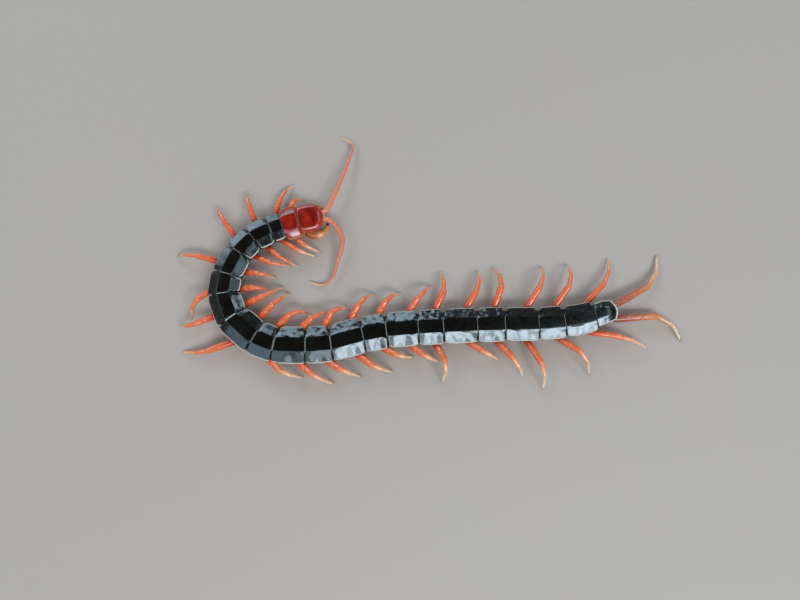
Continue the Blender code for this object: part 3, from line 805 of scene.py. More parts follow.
def rounded_stations(stations):
    """Stations with smooth steps between them, so that an article swells and tapers evenly."""
    route = smooth_route([(x, r, 0.0, 0.0) for x, r in stations], 2)
    return [(x, max(r, 0.02)) for x, r, _, _ in route]


def frame_along(start, end, width, up=UP):
    """The matrix that lays a unit article from start to end with its radii in units of width."""
    along = end - start
    side = up.cross(along).normalized()
    top = along.cross(side).normalized()
    rows = Matrix((along, side * width, top * width)).transposed().to_4x4()
    rows.translation = start
    return rows


def copy_of(model, matrix, low=0.0, high=1.0):
    """A copy of a unit article with its own mesh, placed, painted along from low to high."""
    mesh = model.data.copy()
    values = [low + (high - low) * min(max(vertex.co.x, 0.0), 1.0) for vertex in mesh.vertices]
    # The far end of an article is a little paler, where it meets the soft joint
    rims = [smooth_step(vertex.co.x, 0.93, 0.99) * 0.4 for vertex in mesh.vertices]
    mesh.transform(matrix)
    if matrix.determinant() < 0:
        mesh.flip_normals()
    thing = bpy.data.objects.new(model.name, mesh)
    bpy.context.scene.collection.objects.link(thing)
    paint(thing, "along", values)
    paint(thing, "rim", rims)
    return thing


def joined(things):
    """Joins pieces into the first of them."""
    deselect()
    for thing in things:
        thing.select_set(True)
    bpy.context.view_layer.objects.active = things[0]
    if len(things) > 1:
        bpy.ops.object.join()
    return bpy.context.view_layer.objects.active


def discard(*things):
    """Deletes models that have been copied."""
    for thing in things:
        mesh = thing.data
        bpy.data.objects.remove(thing, do_unlink=True)
        bpy.data.meshes.remove(mesh)


def ball(centre, radii, turn=0.0, segments=16, rings=12):
    """A smooth lump, from a sphere."""
    deselect()
    bpy.ops.mesh.primitive_uv_sphere_add(segments=segments, ring_count=rings, radius=1.0)
    thing = bpy.context.object
    thing.location = centre
    thing.scale = [radius * MM for radius in radii]
    thing.rotation_euler[2] = math.radians(turn)
    bpy.ops.object.transform_apply(location=True, rotation=True, scale=True)
    return thing


# Back plates

# Even steps across a half plate, and where they go: close at the suture and at the margin
ACROSS = ((0.0, 0.0), (0.28, 0.335), (0.44, 0.405), (0.80, 0.92), (1.0, 1.0))
ALONG = ((0.0, 0.0), (0.16, 0.06), (0.80, 0.93), (1.0, 1.0))
PLATE_CELLS = (40, 72)
# The first plate of the straight rear part of the body, whose flanks are more wavy
STRAIGHT_FROM = 9
# Plates whose corners are cut back, so that they look six-sided from above
SIX_SIDED = (2, 3, 4)
# How much narrower a plate is at its front and rear corners: of a six-sided plate, and of the others
CORNER_CUTS = {True: (0.24, 0.12), False: (0.12, 0.05)}
# Width of the last plate: (share of its length, share of the segment's width)
LAST_OUTLINE = ((-0.1, 0.88), (0.1, 0.99), (0.5, 0.98), (0.85, 0.87), (1.1, 0.70))
# The rear hairline is partly the plate's pale edge and partly a painted highlight on its lip
# Where the pale rims begin and are full: share of the half width at the sides, of the length at the rear
SIDE_RIM = (0.946, 0.962)
REAR_RIM_AND_HIGHLIGHT = (1.014, 1.024)
LAST_SIDE_RIM = (0.88, 0.93)
LAST_REAR_RIM = (0.94, 0.98)
# A plate ends over the front of the next segment, at this share of its own
PLATE_END = 1.03
# The rear edge of the last plate is round: its margins end this much earlier
LAST_CURVE = 0.17
# How fast the flanks of the first plate fall away, by side
FIRST_STEEPNESS = {LEFT: 2.1, RIGHT: 2.55}
# The soft dip across a left flank: depth in mm, and its place and length as shares of the segment
DIP_DEPTH = 0.17
DIP_PLACE = 0.62
DIP_LENGTH = 0.17
# How far the front edge sinks under the plate ahead, and how high the lip at the rear is, in mm
FRONT_SINK = 0.44
REAR_LIP = 0.04
# The line along a plate: its place and width as shares of the half width
SUTURE_PLACE = MIDDLE_SHARE - 0.012
SUTURE_WIDTH = 0.014
# How strong the waves are in the bend, and the long and the short ones by side
BEND_WAVES = 0.3
WAVES = {LEFT: (0.8, 0.08), RIGHT: (1.0, 0.50)}
# Their wavelengths in metres are about one over these
LONG_WAVE = 200
SHORT_WAVE = 850
# How much a plate is cut back from the next one at its margins, which leaves dark wedges between them,
# where the skin below is painted near black as shade.
# They are wide on the right of the straight part, and narrow elsewhere
WEDGES = {LEFT: 0.06, RIGHT: 0.14}


def across_share(v):
    """Signed share of the half width, from an even step v from 0 to 1."""
    even = 2 * v - 1
    return math.copysign(stepped(abs(even), ACROSS), even)


def plate_outline(index, share):
    """Share of the full half width that the plate has at a share of its length."""
    if index == 0:
        front = max((0.30 - share) / 0.41, 0.0)
        return 1.04 - 0.24 * front**2.2 - 0.17 * smooth_step(share, 0.60, 1.06) ** 1.7
    if index == LAST:
        return stepped(share, LAST_OUTLINE)
    front_cut, rear_cut = CORNER_CUTS[index in SIX_SIDED]
    front = front_cut * max(1 - share / 0.24, 0.0) ** 1.3
    rear = rear_cut * max((share - 0.84) / 0.16, 0.0) ** 1.6
    return 1.0 - front - rear


def flank_height(across, half, outline):
    """Height of a plate in mm across its half width: flat middle, break, flank, round edge."""
    if across < MIDDLE_SHARE:
        return PLATE_TOP - MIDDLE_DROP * (across / MIDDLE_SHARE) ** 2
    flank = across - MIDDLE_SHARE
    edge = MARGIN_DROP * smooth_step(across, 0.950, 1.02)
    return PLATE_TOP - MIDDLE_DROP - FLANK_SLOPE * flank * half * outline / MM - edge


def flank_dip(index, share, across):
    """Depth in mm of a soft dip across the left flank, a little different on each plate."""
    middle = DIP_PLACE + 0.07 * math.sin(index * 2.3)
    depth = DIP_DEPTH + 0.05 * math.sin(index * 1.7)
    out = max(across - MIDDLE_SHARE, 0.0) / (1 - MIDDLE_SHARE)
    return depth * out**0.9 * math.exp(-(((share - middle) / DIP_LENGTH) ** 2))


def flank_waves(index, side, spot):
    """The uneven swell of a flank, from about -1 to 1."""
    swell, ripple = WAVES[side]
    long = Vector((spot.x * 320 + spot.y * LONG_WAVE, spot.y * LONG_WAVE, index * 3.7))
    short = Vector((spot.x * SHORT_WAVE, spot.y * SHORT_WAVE, index * 5.1))
    return swell * noise.noise(long) + ripple * noise.noise(short)


def first_plate_height(share, across, side):
    """Height of the first plate in mm: a round back, whose front edge goes down under the head."""
    flank = max(across - 0.40, 0.0)
    height = PLATE_TOP - 0.14 - 0.10 * across**2 - 0.35 * across**16
    height -= FIRST_STEEPNESS[side] * flank**2 / (flank + 0.07)
    return height - 0.85 * (1 - smooth_step(share, -0.08, 0.12))


def other_plate_height(index, share, across, side, spot):
    """Height of any other plate in mm, with its dip, suture and waves."""
    straight = STRAIGHT_FROM <= index < LAST
    outline = plate_outline(index, share) if straight else 1.0
    height = flank_height(across, half_width(index), outline)
    if straight and side == LEFT:
        height -= flank_dip(index, share, across)
    height -= FRONT_SINK * max((0.05 - share) / 0.10, 0.0) ** 1.3
    height -= sizes().suture / MM * math.exp(-(((across - SUTURE_PLACE) / SUTURE_WIDTH) ** 2))
    # The flanks are hollow along their length and rise to the rear
    flank = smooth_step(across, MIDDLE_SHARE, MIDDLE_SHARE + 0.35)
    height += flank * (0.28 * (share - 0.45) ** 2 - 0.03) - 0.03 * (2 * share - 1) ** 2
    if index == LAST:
        height -= 0.6 * smooth_step(share, 0.50, 1.15) ** 1.3
    # The waves are in the flanks, deepest in the straight part, and the middle is all but flat
    wave = sizes().wave / MM
    wave *= 0.08 + 0.92 * smooth_step(across, MIDDLE_SHARE, MIDDLE_SHARE + 0.10)
    wave *= BEND_WAVES if index < STRAIGHT_FROM else 1.0
    return height + wave * flank_waves(index, side, spot)


def plate_height(index, share, signed, spot):
    """Height of a plate's upper face in mm, with a low lip before its rear edge turns down."""
    across = abs(signed)
    side = LEFT if signed > 0 else RIGHT
    if index == 0:
        height = first_plate_height(share, across, side)
    else:
        height = other_plate_height(index, share, across, side, spot)
    height += REAR_LIP * math.exp(-(((share - 0.990) / 0.014) ** 2))
    height -= 0.12 * smooth_step(share, 1.0, 1.04)
    return min(height, PLATE_TOP + 0.02)


def painted_flank_light(u, v):
    """How much lighter the red plates are painted towards the sides: painted light on the flanks."""
    return 0.8 * smooth_step(abs(across_share(v)), 0.45, 1.0)


def plate_rim_and_highlight(index, share, across):
    """How pale the cuticle is: thin pale rims at the sides, and a hairline at the rear that is partly a
    pale edge and partly a painted highlight on the low lip.
    """
    side = smooth_step(across, *SIDE_RIM)
    rear = smooth_step(share, *REAR_RIM_AND_HIGHLIGHT) * (1.0 if across < MIDDLE_SHARE + 0.03 else 0.15)
    if index == LAST:
        side = smooth_step(across, *LAST_SIDE_RIM) * 0.9
        rear = smooth_step(share + LAST_CURVE * across * across, *LAST_REAR_RIM)
    return max(side * 0.85, rear * 0.8)


def back_plate(index, joints):
    """One back plate: a grid shaped over the segment, given its thickness."""
    half = half_width(index)

    def share_of(u, signed):
        across = abs(signed)
        flank = max(across - MIDDLE_SHARE, 0.0)
        corner = smooth_step(across, MIDDLE_SHARE, MIDDLE_SHARE + 0.06)
        cut = WEDGES[RIGHT if index >= STRAIGHT_FROM and signed < 0 else LEFT]
        # The front edge is tucked under the plate ahead, the first plate's deepest, under the head
        tucked = -0.05 + 0.055 * corner + 1.5 * cut * flank if index else -0.11
        end = PLATE_END - 0.025 * corner - cut * flank
        if index == LAST:
            end = PLATE_END - LAST_CURVE * across * across
        return tucked + (end - tucked) * stepped(u, ALONG)

    def place(u, v):
        signed = across_share(v)
        share = share_of(u, signed)
        out = half * signed * plate_outline(index, share)
        if index == 0 and signed < 0:
            # The first plate reaches further out on the right, over the bend
            out *= 1.07
        if signed > 0:
            # The left margin draws in towards the tail
            out *= 1.0 - 0.08 * smooth_step(index + share, LAST - 0.6, LAST + 0.2)
        spot = trunk_point(joints, index, share, out, 0.0)
        spot.z = plate_height(index, share, signed, spot) * MM
        return spot

    def rim(u, v):
        signed = across_share(v)
        return plate_rim_and_highlight(index, share_of(u, signed), abs(signed))

    plate = sheet(PLATE_CELLS, place, rim=rim, flank=painted_flank_light)
    faces_up(plate)
    add_shell(plate, PLATE_THICKNESS)
    return plate


class CENTIPEDE_OT_back_plates(bpy.types.Operator):
    """Models the back plate of each of the 21 segments"""

    bl_idname = "centipede.back_plates"
    bl_label = "Back plates"

    def execute(self, context):
        joints = body_joints()
        black = black_cuticle()
        red = red_cuticle()
        for index in range(SEGMENTS):
            plate = back_plate(index, joints)
            material, slot = (red, "red_cuticle") if index == 0 else (black, "black_cuticle")
            finish(plate, f"back_plate_{index + 1:02d}", material, slot)
        return {"FINISHED"}


# Skin, belly plates and spiracles

SKIN_CELLS_ALONG = 16
SKIN_CELLS_ROUND = 64
# Where the tube of skin starts, in segments from the neck, and the height in mm that its ends close at
SKIN_FROM = -0.10
SKIN_MIDDLE = 3.3
# The swelling that a leg grows from: share of the segment and height in mm, spread in both, and depth
LEG_MOUND = (0.60, 2.9)
LEG_MOUND_SPREAD = (0.15, 0.95)
LEG_MOUND_DEPTH = 0.45
# How the tube narrows at its two ends
SKIN_ENDS = (
    (0.0, 0.55), (0.01, 0.8), (0.02, 0.93), (0.975, 1.0), (0.988, 0.9), (0.996, 0.68), (1.0, 0.25),
)
# Small hard plates in each side of the skin: share of the segment, then height and half axes in mm
SIDE_PLATES = (
    (0.30, 2.9, 0.75, 0.42), (0.44, 4.25, 0.95, 0.30), (0.88, 3.9, 0.60, 0.42), (0.93, 2.9, 0.50, 0.50),
    (0.14, 3.8, 0.45, 0.35), (0.62, 1.75, 1.05, 0.32),
)
SIDE_PLATE_OUT = 0.835
SIDE_PLATE_DEPTH = 0.20
# Belly plates: share of the half width, and height and thickness in mm
BELLY_WIDTH = 0.52
BELLY_HEIGHT = 1.0
BELLY_THICKNESS = 0.15
# Sides of the last segment: unit shape, and each end as shares of its length and half width, and mm up
LAST_SIDE = ((0.0, 0.5), (0.15, 1.0), (0.5, 1.15), (0.78, 0.75), (0.93, 0.35), (1.0, 0.08))
LAST_SIDE_FROM = (0.15, 0.55, 2.7)
LAST_SIDE_TO = (1.17, 0.30, 2.2)
# Spiracles: place in the same terms, and half axes of the ring and of the dark hole in mm
SPIRACLE_PLACE = (0.30, 0.845, 3.9)
SPIRACLE_RING = (0.50, 0.26, 0.30)
SPIRACLE_HOLE = (0.42, 0.12, 0.18)


def flank_point(joints, index, side, place):
    """A point on a side of a segment: share of its length, share of the half width, and mm up."""
    share, out, height = place
    return trunk_point(joints, index, share, half_width(index) * out * side, height * MM)


def skin_outline():
    """The skin's closed cross-section as smooth (share of half width, height in mm) points."""
    half = [(x, z, 0.0, 0.0) for x, z in SKIN_SECTION]
    mirrored = [(-x, z, 0.0, 0.0) for x, z in reversed(SKIN_SECTION[1:-1])]
    loop = half + mirrored + [half[0]]
    return [(x, z, 0.0, 0.0) for x, z, _, _ in smooth_route(loop, 4)]


class CENTIPEDE_OT_skin(bpy.types.Operator):
    """Models the soft skin of the trunk, its belly plates and its spiracles"""

    bl_idname = "centipede.skin"
    bl_label = "Skin and belly"

    def execute(self, context):
        joints = body_joints()
        outline = skin_outline()
        nodes = [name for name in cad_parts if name.startswith("trunk_")]
        finish(self.skin(joints, outline), "trunk_skin", soft_skin(), "black_cuticle", nodes)
        tan = pale_sclerite()
        finish(self.belly(joints), "belly_plates", tan, "black_cuticle")
        finish(self.side_plates(joints), "side_plates", brown_sclerite(), "black_cuticle")
        finish(self.sides_of_last(joints), "last_segment_sides", tan, "orange_cuticle")
        finish(self.spiracles(joints), "spiracles", claw_chitin(), "black_cuticle")
        return {"FINISHED"}

    def skin(self, joints, outline):
        """One tube from under the head to the tail, a little fuller in each segment."""

        def place(u, a):
            along = SKIN_FROM + (SEGMENTS - SKIN_FROM) * u
            index = min(max(int(along), 0), LAST)
            share = along - index
            x, z, _, _ = point_along(outline, a)
            bulge = 0.93 + 0.05 * math.sin(math.pi * min(max(share, 0.0), 1.0))
            taper = stepped(u, SKIN_ENDS)
            height = SKIN_MIDDLE + (z - SKIN_MIDDLE) * (0.35 + 0.65 * taper)
            side = smooth_step(abs(x), 0.6, 0.8)
            ahead = (share - LEG_MOUND[0]) / LEG_MOUND_SPREAD[0]
            above = (z - LEG_MOUND[1]) / LEG_MOUND_SPREAD[1]
            mound = LEG_MOUND_DEPTH * math.exp(-(ahead**2) - above**2) * side
            out = x * half_width(index) * bulge * taper
            spot = trunk_point(joints, index, share, out, height * MM)
            fold = 0.22 * noise.noise(spot * 1300) + 0.10 * noise.noise(spot * 2900)
            reach = math.copysign((mound + fold * side) * taper * MM, x)
            return trunk_point(joints, index, share, out + reach, height * MM)

        tube = wrapped((SEGMENTS * SKIN_CELLS_ALONG, SKIN_CELLS_ROUND), place)
        return closed(tube)

    def belly(self, joints):
        """A low plate under each segment."""
        plates = []
        for index in range(SEGMENTS):

            def place(u, v, index=index):
                share = 0.06 + 0.88 * u
                signed = 2 * v - 1
                out = signed * half_width(index) * (BELLY_WIDTH - 0.06 * (2 * u - 1) ** 2)
                height = BELLY_HEIGHT + 0.16 * signed**4 + 0.1 * (2 * u - 1) ** 4
                return trunk_point(joints, index, share, out, height * MM)

            plate = sheet((8, 10), place)
            faces_up(plate)
            plate.data.flip_normals()
            add_shell(plate, BELLY_THICKNESS)
            plates.append(plate)
        return joined(plates)

    def side_plates(self, joints):
        """Low ovals of harder cuticle round each leg root."""
        deselect()
        bpy.ops.mesh.primitive_uv_sphere_add(segments=18, ring_count=10, radius=1.0)
        model = bpy.context.object
        ovals = []
        for index in range(SEGMENTS - 1):
            for side in (LEFT, RIGHT):
                for share, height, length, rise in SIDE_PLATES:
                    centre = flank_point(joints, index, side, (share, SIDE_PLATE_OUT, height))
                    turn = math.radians(SEGMENT_HEADINGS[index] + skew_at(index, share))
                    scale = Matrix.Diagonal((length * MM, SIDE_PLATE_DEPTH * MM, rise * MM, 1))
                    place = Matrix.Translation(centre) @ Matrix.Rotation(turn, 4, "Z") @ scale
                    ovals.append(copy_of(model, place))
        discard(model)
        return joined(ovals)

    def sides_of_last(self, joints):
        """The swollen sides of the last segment, each with a short pointed process."""
        model = turned(rounded_stations(LAST_SIDE))
        sides = []
        for side in (LEFT, RIGHT):
            start = flank_point(joints, LAST, side, LAST_SIDE_FROM)
            end = flank_point(joints, LAST, side, LAST_SIDE_TO)
            sides.append(copy_of(model, frame_along(start, end, MM)))
        discard(model)
        return joined(sides)

    def spiracles(self, joints):
        """Oval breathing holes with a raised ring, above the leg roots."""
        rings = []
        for number in SPIRACLE_SEGMENTS:
            for side in (LEFT, RIGHT):
                index = number - 1
                centre = flank_point(joints, index, side, SPIRACLE_PLACE)
                deselect()
                bpy.ops.mesh.primitive_torus_add(
                    major_segments=16, minor_segments=6, major_radius=1.0, minor_radius=0.28
                )
                ring = bpy.context.object
                ring.scale = Vector(SPIRACLE_RING) * MM
                turn = SEGMENT_HEADINGS[index]
                ring.rotation_euler = (math.radians(90), 0.0, math.radians(turn))
                ring.location = centre
                bpy.ops.object.transform_apply(location=True, rotation=True, scale=True)
                hole = ball(centre, SPIRACLE_HOLE, turn, 14, 8)
                rings.extend((ring, hole))
        return joined(rings)


# Head

HEAD_CELLS = (44, 60)
HEAD_TOP = 6.44
# How far the plate's edge stands out from the head, in mm
HEAD_EDGE = 0.22
# Lumps: place forward from the neck, out and up, and half axes, in mm
HEAD_CAPSULE = ((3.6, 0, 4.25), (3.6, 3.95, 1.15))
LIP = ((7.25, -0.1, 4.2), (1.15, 1.7, 0.85))
# Jaws of each side: both ends as places, and radius in mm, with the unit shape of all
JAWS = (
    ((3.4, 2.2, 3.5), (6.9, 1.3, 3.35), 0.75),
    ((4.6, 1.0, 3.2), (7.2, 0.45, 3.3), 0.6),
)
JAW = ((0.0, 0.45), (0.2, 0.8), (0.6, 0.75), (0.9, 0.5), (1.0, 0.2))


class CENTIPEDE_OT_head(bpy.types.Operator):
    """Models the head plate, the head under it, its lip and mouthparts and the simple eyes"""

    bl_idname = "centipede.head"
    bl_label = "Head"

    def execute(self, context):
        red = red_cuticle()
        tan = pale_sclerite()
        finish(self.plate(), "head_plate", red, "red_cuticle", ["head"])
        place, radii = HEAD_CAPSULE
        capsule = ball(head_point(*place), radii, head_heading(), 32, 20)
        finish(capsule, "head_capsule", amber_cuticle(), "red_cuticle")
        place, radii = LIP
        lip = ball(head_point(*place), radii, head_heading(), 24, 16)
        finish(lip, "lip", tan, "red_cuticle")
        finish(self.mouthparts(), "mouthparts", amber_cuticle(), "amber_cuticle")
        lens = lens_cuticle()
        for side, name in SIDES:
            finish(self.eye_pad(side), f"eye_pad_{name}", red, "red_cuticle")
            finish(self.eyes(side), f"simple_eyes_{name}", lens, "ocellus", [f"ocelli_{name}"])
        return {"FINISHED"}

    def plate(self):
        """The flat red plate, round in front, with a low rim along its sides."""
        length = sizes().head_length / MM
        half = sizes().head_width / MM / 2 + HEAD_EDGE

        def shape(u, v):
            signed = across_share(v)
            across = abs(signed)
            rear_edge = -0.01 + 0.055 * across * across
            share = rear_edge + (0.985 - rear_edge) * stepped(u, ALONG)
            front = max((share - 0.46) / 0.53, 0.0)
            rear = max((0.46 - share) / 0.55, 0.0)
            width = (1 - min(front, 0.99) ** 2.3) ** 0.5 * (1 - 0.17 * rear**2.2)
            return share, signed, across, width

        def place(u, v):
            share, signed, across, width = shape(u, v)
            out = half * signed * width
            rearness = 1 - smooth_step(share, -0.02, 0.42)
            side = 0.30 * across**2 + 1.05 * across**8
            height = HEAD_TOP - (1 - 0.25 * rearness) * side
            height -= 0.12 * share + 1.30 * max((share - 0.48) / 0.52, 0.0) ** 4.5
            height -= 0.10 * max((0.16 - share) / 0.25, 0.0) ** 2
            height += 0.06 * math.exp(-(((across - 0.965) / 0.025) ** 2))
            height -= 0.05 * math.exp(-((signed / 0.02) ** 2)) * smooth_step(share, 0.55, 0.8)
            spot = head_point(share * length, out, 0)
            height += 0.03 * noise.noise(spot * 420)
            spot.z = height * MM
            return spot

        def rim(u, v):
            across = shape(u, v)[2]
            rear = 1 - smooth_step(u, 0.015, 0.04)
            return max(0.75 * rear, 0.3 * smooth_step(across, 0.96, 0.99))

        plate = sheet(HEAD_CELLS, place, rim=rim, flank=painted_flank_light)
        faces_up(plate)
        add_shell(plate, PLATE_THICKNESS)
        return plate

    def mouthparts(self):
        """Two pairs of jaws folded under the head, of which only the outer palps show from in front."""
        model = turned(rounded_stations(JAW))
        parts = []
        for side in (LEFT, RIGHT):
            for *ends, width in JAWS:
                start, end = [head_point(forward, out * side, height) for forward, out, height in ends]
                parts.append(copy_of(model, frame_along(start, end, width * MM)))
        discard(model)
        return joined(parts)

    def eye_place(self, side):
        """The matrix that lays an eye cluster on the front corner of the head, leaning outwards."""
        turn = math.radians(head_heading() - 25 * side)
        tilt = Matrix.Rotation(turn, 4, "Z") @ Matrix.Rotation(math.radians(12), 4, "Y")
        tilt = tilt @ Matrix.Rotation(math.radians(-42 * side), 4, "X")
        forward, out, height = EYE_PLACE
        return Matrix.Translation(head_point(forward, out * side, height)) @ tilt

    def eye_pad(self, side):
        """The low swelling that the lenses stand on."""
        pad = ball((0, 0, 0), EYE_PAD, 0.0, 24, 14)
        pad.data.transform(self.eye_place(side))
        return pad

    def eyes(self, side):
        """Four clear domes."""
        domes = []
        for along, across in LENS_PLACES:
            rise = EYE_PAD[2] * math.sqrt(1 - (along / EYE_PAD[0]) ** 2 - (across / EYE_PAD[1]) ** 2)
            domes.append(ball(Vector((along, across, rise - LENS_SINK)) * MM, LENS, 0.0, 16, 10))
        cluster = joined(domes)
        cluster.data.transform(self.eye_place(side))
        return cluster


# Poison claws

# The plate that carries the claws: its half width in mm by the share of the head's length, where it
# starts, how long it is in the same shares, and the height of its middle and its half thickness in mm
CARRIER_WIDTHS = ((-0.16, 3.2), (0.2, 3.6), (0.5, 3.2), (0.68, 2.5))
CARRIER_UNIT = 7.6
CARRIER_FROM = -0.14
CARRIER_LENGTH = 0.80
CARRIER_HEIGHT = 1.82
CARRIER_RISE = 0.78
# Teeth at its front edge: number on each side, unit shape, and both ends forward from the neck in mm
TEETH = 5
TOOTH = ((0.0, 0.22), (0.6, 0.17), (1.0, 0.04))
TOOTH_ENDS = (4.95, 5.75)
TOOTH_HEIGHT = 1.85


class CENTIPEDE_OT_poison_claws(bpy.types.Operator):
    """Models the two poison claws, their dark fangs and the plate that carries them"""

    bl_idname = "centipede.poison_claws"
    bl_label = "Poison claws"

    def execute(self, context):
        amber = amber_cuticle()
        dark = claw_chitin()
        for side, name in SIDES:
            spread = side * CLAW_SPREAD[side]
            stations = [
                (*head_point(forward, out * spread, height), radius * CLAW_FULLNESS * MM)
                for forward, out, height, radius in POISON_CLAW
            ]
            route = smooth_route(stations, 8)
            limb = joined([self.article(route, *span) for span in CLAW_ARTICLES])
            finish(limb, f"poison_claw_{name}", amber, "amber_cuticle", [f"forcipule_{name}"])
            finish(self.article(route, *FANG, True), f"fang_{name}", dark, "amber_cuticle")
        finish(self.carrier(), "poison_claw_plate", amber_cuticle(), "red_cuticle")
        return {"FINISHED"}

    def article(self, route, low, high, pointed=False):
        """A length of the limb, swollen in its middle and closed at both ends."""

        def place(u, a):
            share = low + (high - low) * u
            spot = point_along(route, share)
            ahead = point_along(route, min(share + 0.01, 1.0))
            behind = point_along(route, max(share - 0.01, 0.0))
            along = (ahead - behind).to_3d().normalized()
            side = along.cross(UP).normalized()
            top = side.cross(along)
            near = 1 - min(u, 1 - u, 0.14) / 0.14
            ends = math.sqrt(max(1 - near**2, 0.0))
            if pointed:
                ends = (ends if u < 0.5 else 1.0) * (1 - u**2.2)
            radius = spot.w * ends
            angle = a * math.tau
            return spot.to_3d() + (side * math.cos(angle) + top * math.sin(angle) * 0.85) * radius

        return wrapped((24, 20), place, lambda u: low + (high - low) * u)

    def carrier(self):
        """The plate under the head, with a row of teeth at its front edge."""

        def place(u, a):
            share = CARRIER_FROM + CARRIER_LENGTH * u
            out = stepped(share, CARRIER_WIDTHS)
            ends = math.sqrt(max(1 - (2 * u - 1) ** 8, 0.0))
            angle = a * math.tau
            # A flat oval with rounded ends
            across = math.copysign(abs(math.cos(angle)) ** 0.7, math.cos(angle))
            rise = math.copysign(abs(math.sin(angle)) ** 0.7, math.sin(angle))
            height = CARRIER_HEIGHT + CARRIER_RISE * rise * ends
            return head_point(share * CARRIER_UNIT, out * across * ends, height)

        plate = wrapped((20, 28), place, lambda u: 0.1 + 0.5 * u)
        tooth = turned(TOOTH, 8)
        teeth = []
        for side in (LEFT, RIGHT):
            for step in range(TEETH):
                # The outer teeth are shorter
                out = (0.45 + 0.40 * step) * side
                start = head_point(TOOTH_ENDS[0], out, TOOTH_HEIGHT)
                end = head_point(TOOTH_ENDS[1] - 0.08 * step, out * 1.03, TOOTH_HEIGHT)
                teeth.append(copy_of(tooth, frame_along(start, end, MM), 0.9, 1.0))
        discard(tooth)
        return joined([plate] + teeth)


# Feelers


class CENTIPEDE_OT_feelers(bpy.types.Operator):
    """Models the two feelers, each a chain of 18 articles"""

    bl_idname = "centipede.feelers"
    bl_label = "Feelers"

    def execute(self, context):
        coral = feeler_cuticle()
        model = turned(rounded_stations(FEELER_ARTICLE), 12)
        tip = turned(rounded_stations(FEELER_TIP), 12)
        for side, name in SIDES:
            forward, out, height = FEELER_FROM
            here = head_point(forward, out * side, 0)
            points = [(here.x, here.y, height * MM, 0.0)]
            for length, heading, rise in FEELERS[side]:
                here = here + direction(heading) * length * MM
                points.append((here.x, here.y, rise * MM, 0.0))
            route = smooth_route(points, 8)
            articles = []
            for step in range(FEELER_ARTICLES):
                low = step / FEELER_ARTICLES
                high = (step + 1) / FEELER_ARTICLES
                start = point_along(route, max(low - FEELER_OVERLAP, 0.0)).to_3d()
                end = point_along(route, high).to_3d()
                width = stepped(high, FEELER_PROFILE) * MM
                shape = tip if step == FEELER_ARTICLES - 1 else model
                articles.append(copy_of(shape, frame_along(start, end, width), low, high))
            finish(joined(articles), f"feeler_{name}", coral, "coral_cuticle", [f"antenna_{name}"])
        discard(model, tip)
        return {"FINISHED"}


# Legs


def leg_plan(pose, share):
    """The leg's line in plan, in mm from its root: straight out (real) and to the rear (imaginary)."""
    sweep, bend, reach = pose
    here = complex(0.0, 0.0)
    foot = complex(0.0, 0.0)
    left = share
    for joint, length in enumerate(LEG_LENGTHS):
        heading = cmath.rect(1.0, math.radians(bend) * joint / 2)
        gone = min(left, length)
        here += heading * gone
        foot += heading * length
        left -= gone
    return here / foot * cmath.rect(reach, math.radians(sweep))


def leg_point(pose, rear, arch, share):
    """A point of the leg's middle line in metres: x straight out, y along the body, from the root."""
    plan = leg_plan(pose, share)
    cube = max(share, 0.0) ** 3
    height = sizes().leg_root_height / MM * (1 - cube) + sizes().foot_height / MM * cube
    height += arch * ARCH_SCALE * share * share * (1 - share)
    return Vector((plan.real, rear * plan.imag, height)) * MM


def leg_line(matrix, pose, rear, arch=0.0):
    """The leg's middle line in the world, as a function of the share of its length."""
    return lambda share: matrix @ leg_point(pose, rear, arch, share)


def arch_of(pose, length):
    """How high the leg arches in mm, so that its own length fits between root and foot."""
    low = 0.0
    high = TALLEST_ARCH
    for _ in range(12):
        arch = (low + high) / 2
        points = [leg_point(pose, 1, arch, i / 24) for i in range(25)]
        if sum((b - a).length for a, b in zip(points, points[1:])) < length * MM:
            low = arch
        else:
            high = arch
    return low


def leg_place(joints, index, side, root_place):
    """The matrix from a leg's own frame (x straight out) to the world."""
    share, out = root_place
    outwards = SEGMENT_HEADINGS[index] + 90 * side
    centre = joints[index].lerp(joints[index + 1], share)
    root = centre + direction(outwards) * half_width(index) * out
    return Matrix.Translation(root) @ Matrix.Rotation(math.radians(outwards), 4, "Z")


def tone(share, pale):
    """Where a place on a leg lies in the run of its colours. Most legs reach its pale end late; the pale
    ones reach it early, which on the walking legs is a painted highlight.
    """
    return share if pale else stepped(share, LATE_TONES)


def leg_models(articles):
    """One unit model for each article."""
    return [turned(rounded_stations(stations), 16) for _, _, stations in articles]


def leg_of(models, articles, membrane, line, girth, pale):
    """The articles of one leg with the soft joints between them, as one piece."""
    parts = []
    for model, (low, high, stations) in zip(models, articles):
        start = line(low)
        end = line(high)
        tones = (tone(low, pale), tone(high, pale))
        parts.append(copy_of(model, frame_along(start, end, girth * MM), *tones))
        joint = line(high - JOINT_SINK)
        radius = stations[-1][1] * girth * MM * JOINT_SHARE
        ahead = (end - start).normalized() * radius
        place = frame_along(joint - ahead, joint + ahead, radius)
        parts.append(copy_of(membrane, place, tones[1], tones[1]))
    return joined(parts)


def claw_of(model, line, girth):
    """The horn claw, from the last article down to the floor."""
    start = line(CLAW_FROM)
    end = line(1.0)
    end.z = CLAW_TIP_HEIGHT * MM
    return copy_of(model, frame_along(start, end, girth * MM))


def claw_model():
    """A curved claw: a disc extruded in steps that sink and narrow."""
    claw = turned(((0.0, 0.26), (0.25, 0.25), (0.5, 0.20), (0.75, 0.13), (1.0, 0.035)), 10)
    for vertex in claw.data.vertices:
        vertex.co.z += 0.5 * math.sin(math.pi * vertex.co.x)
    return claw


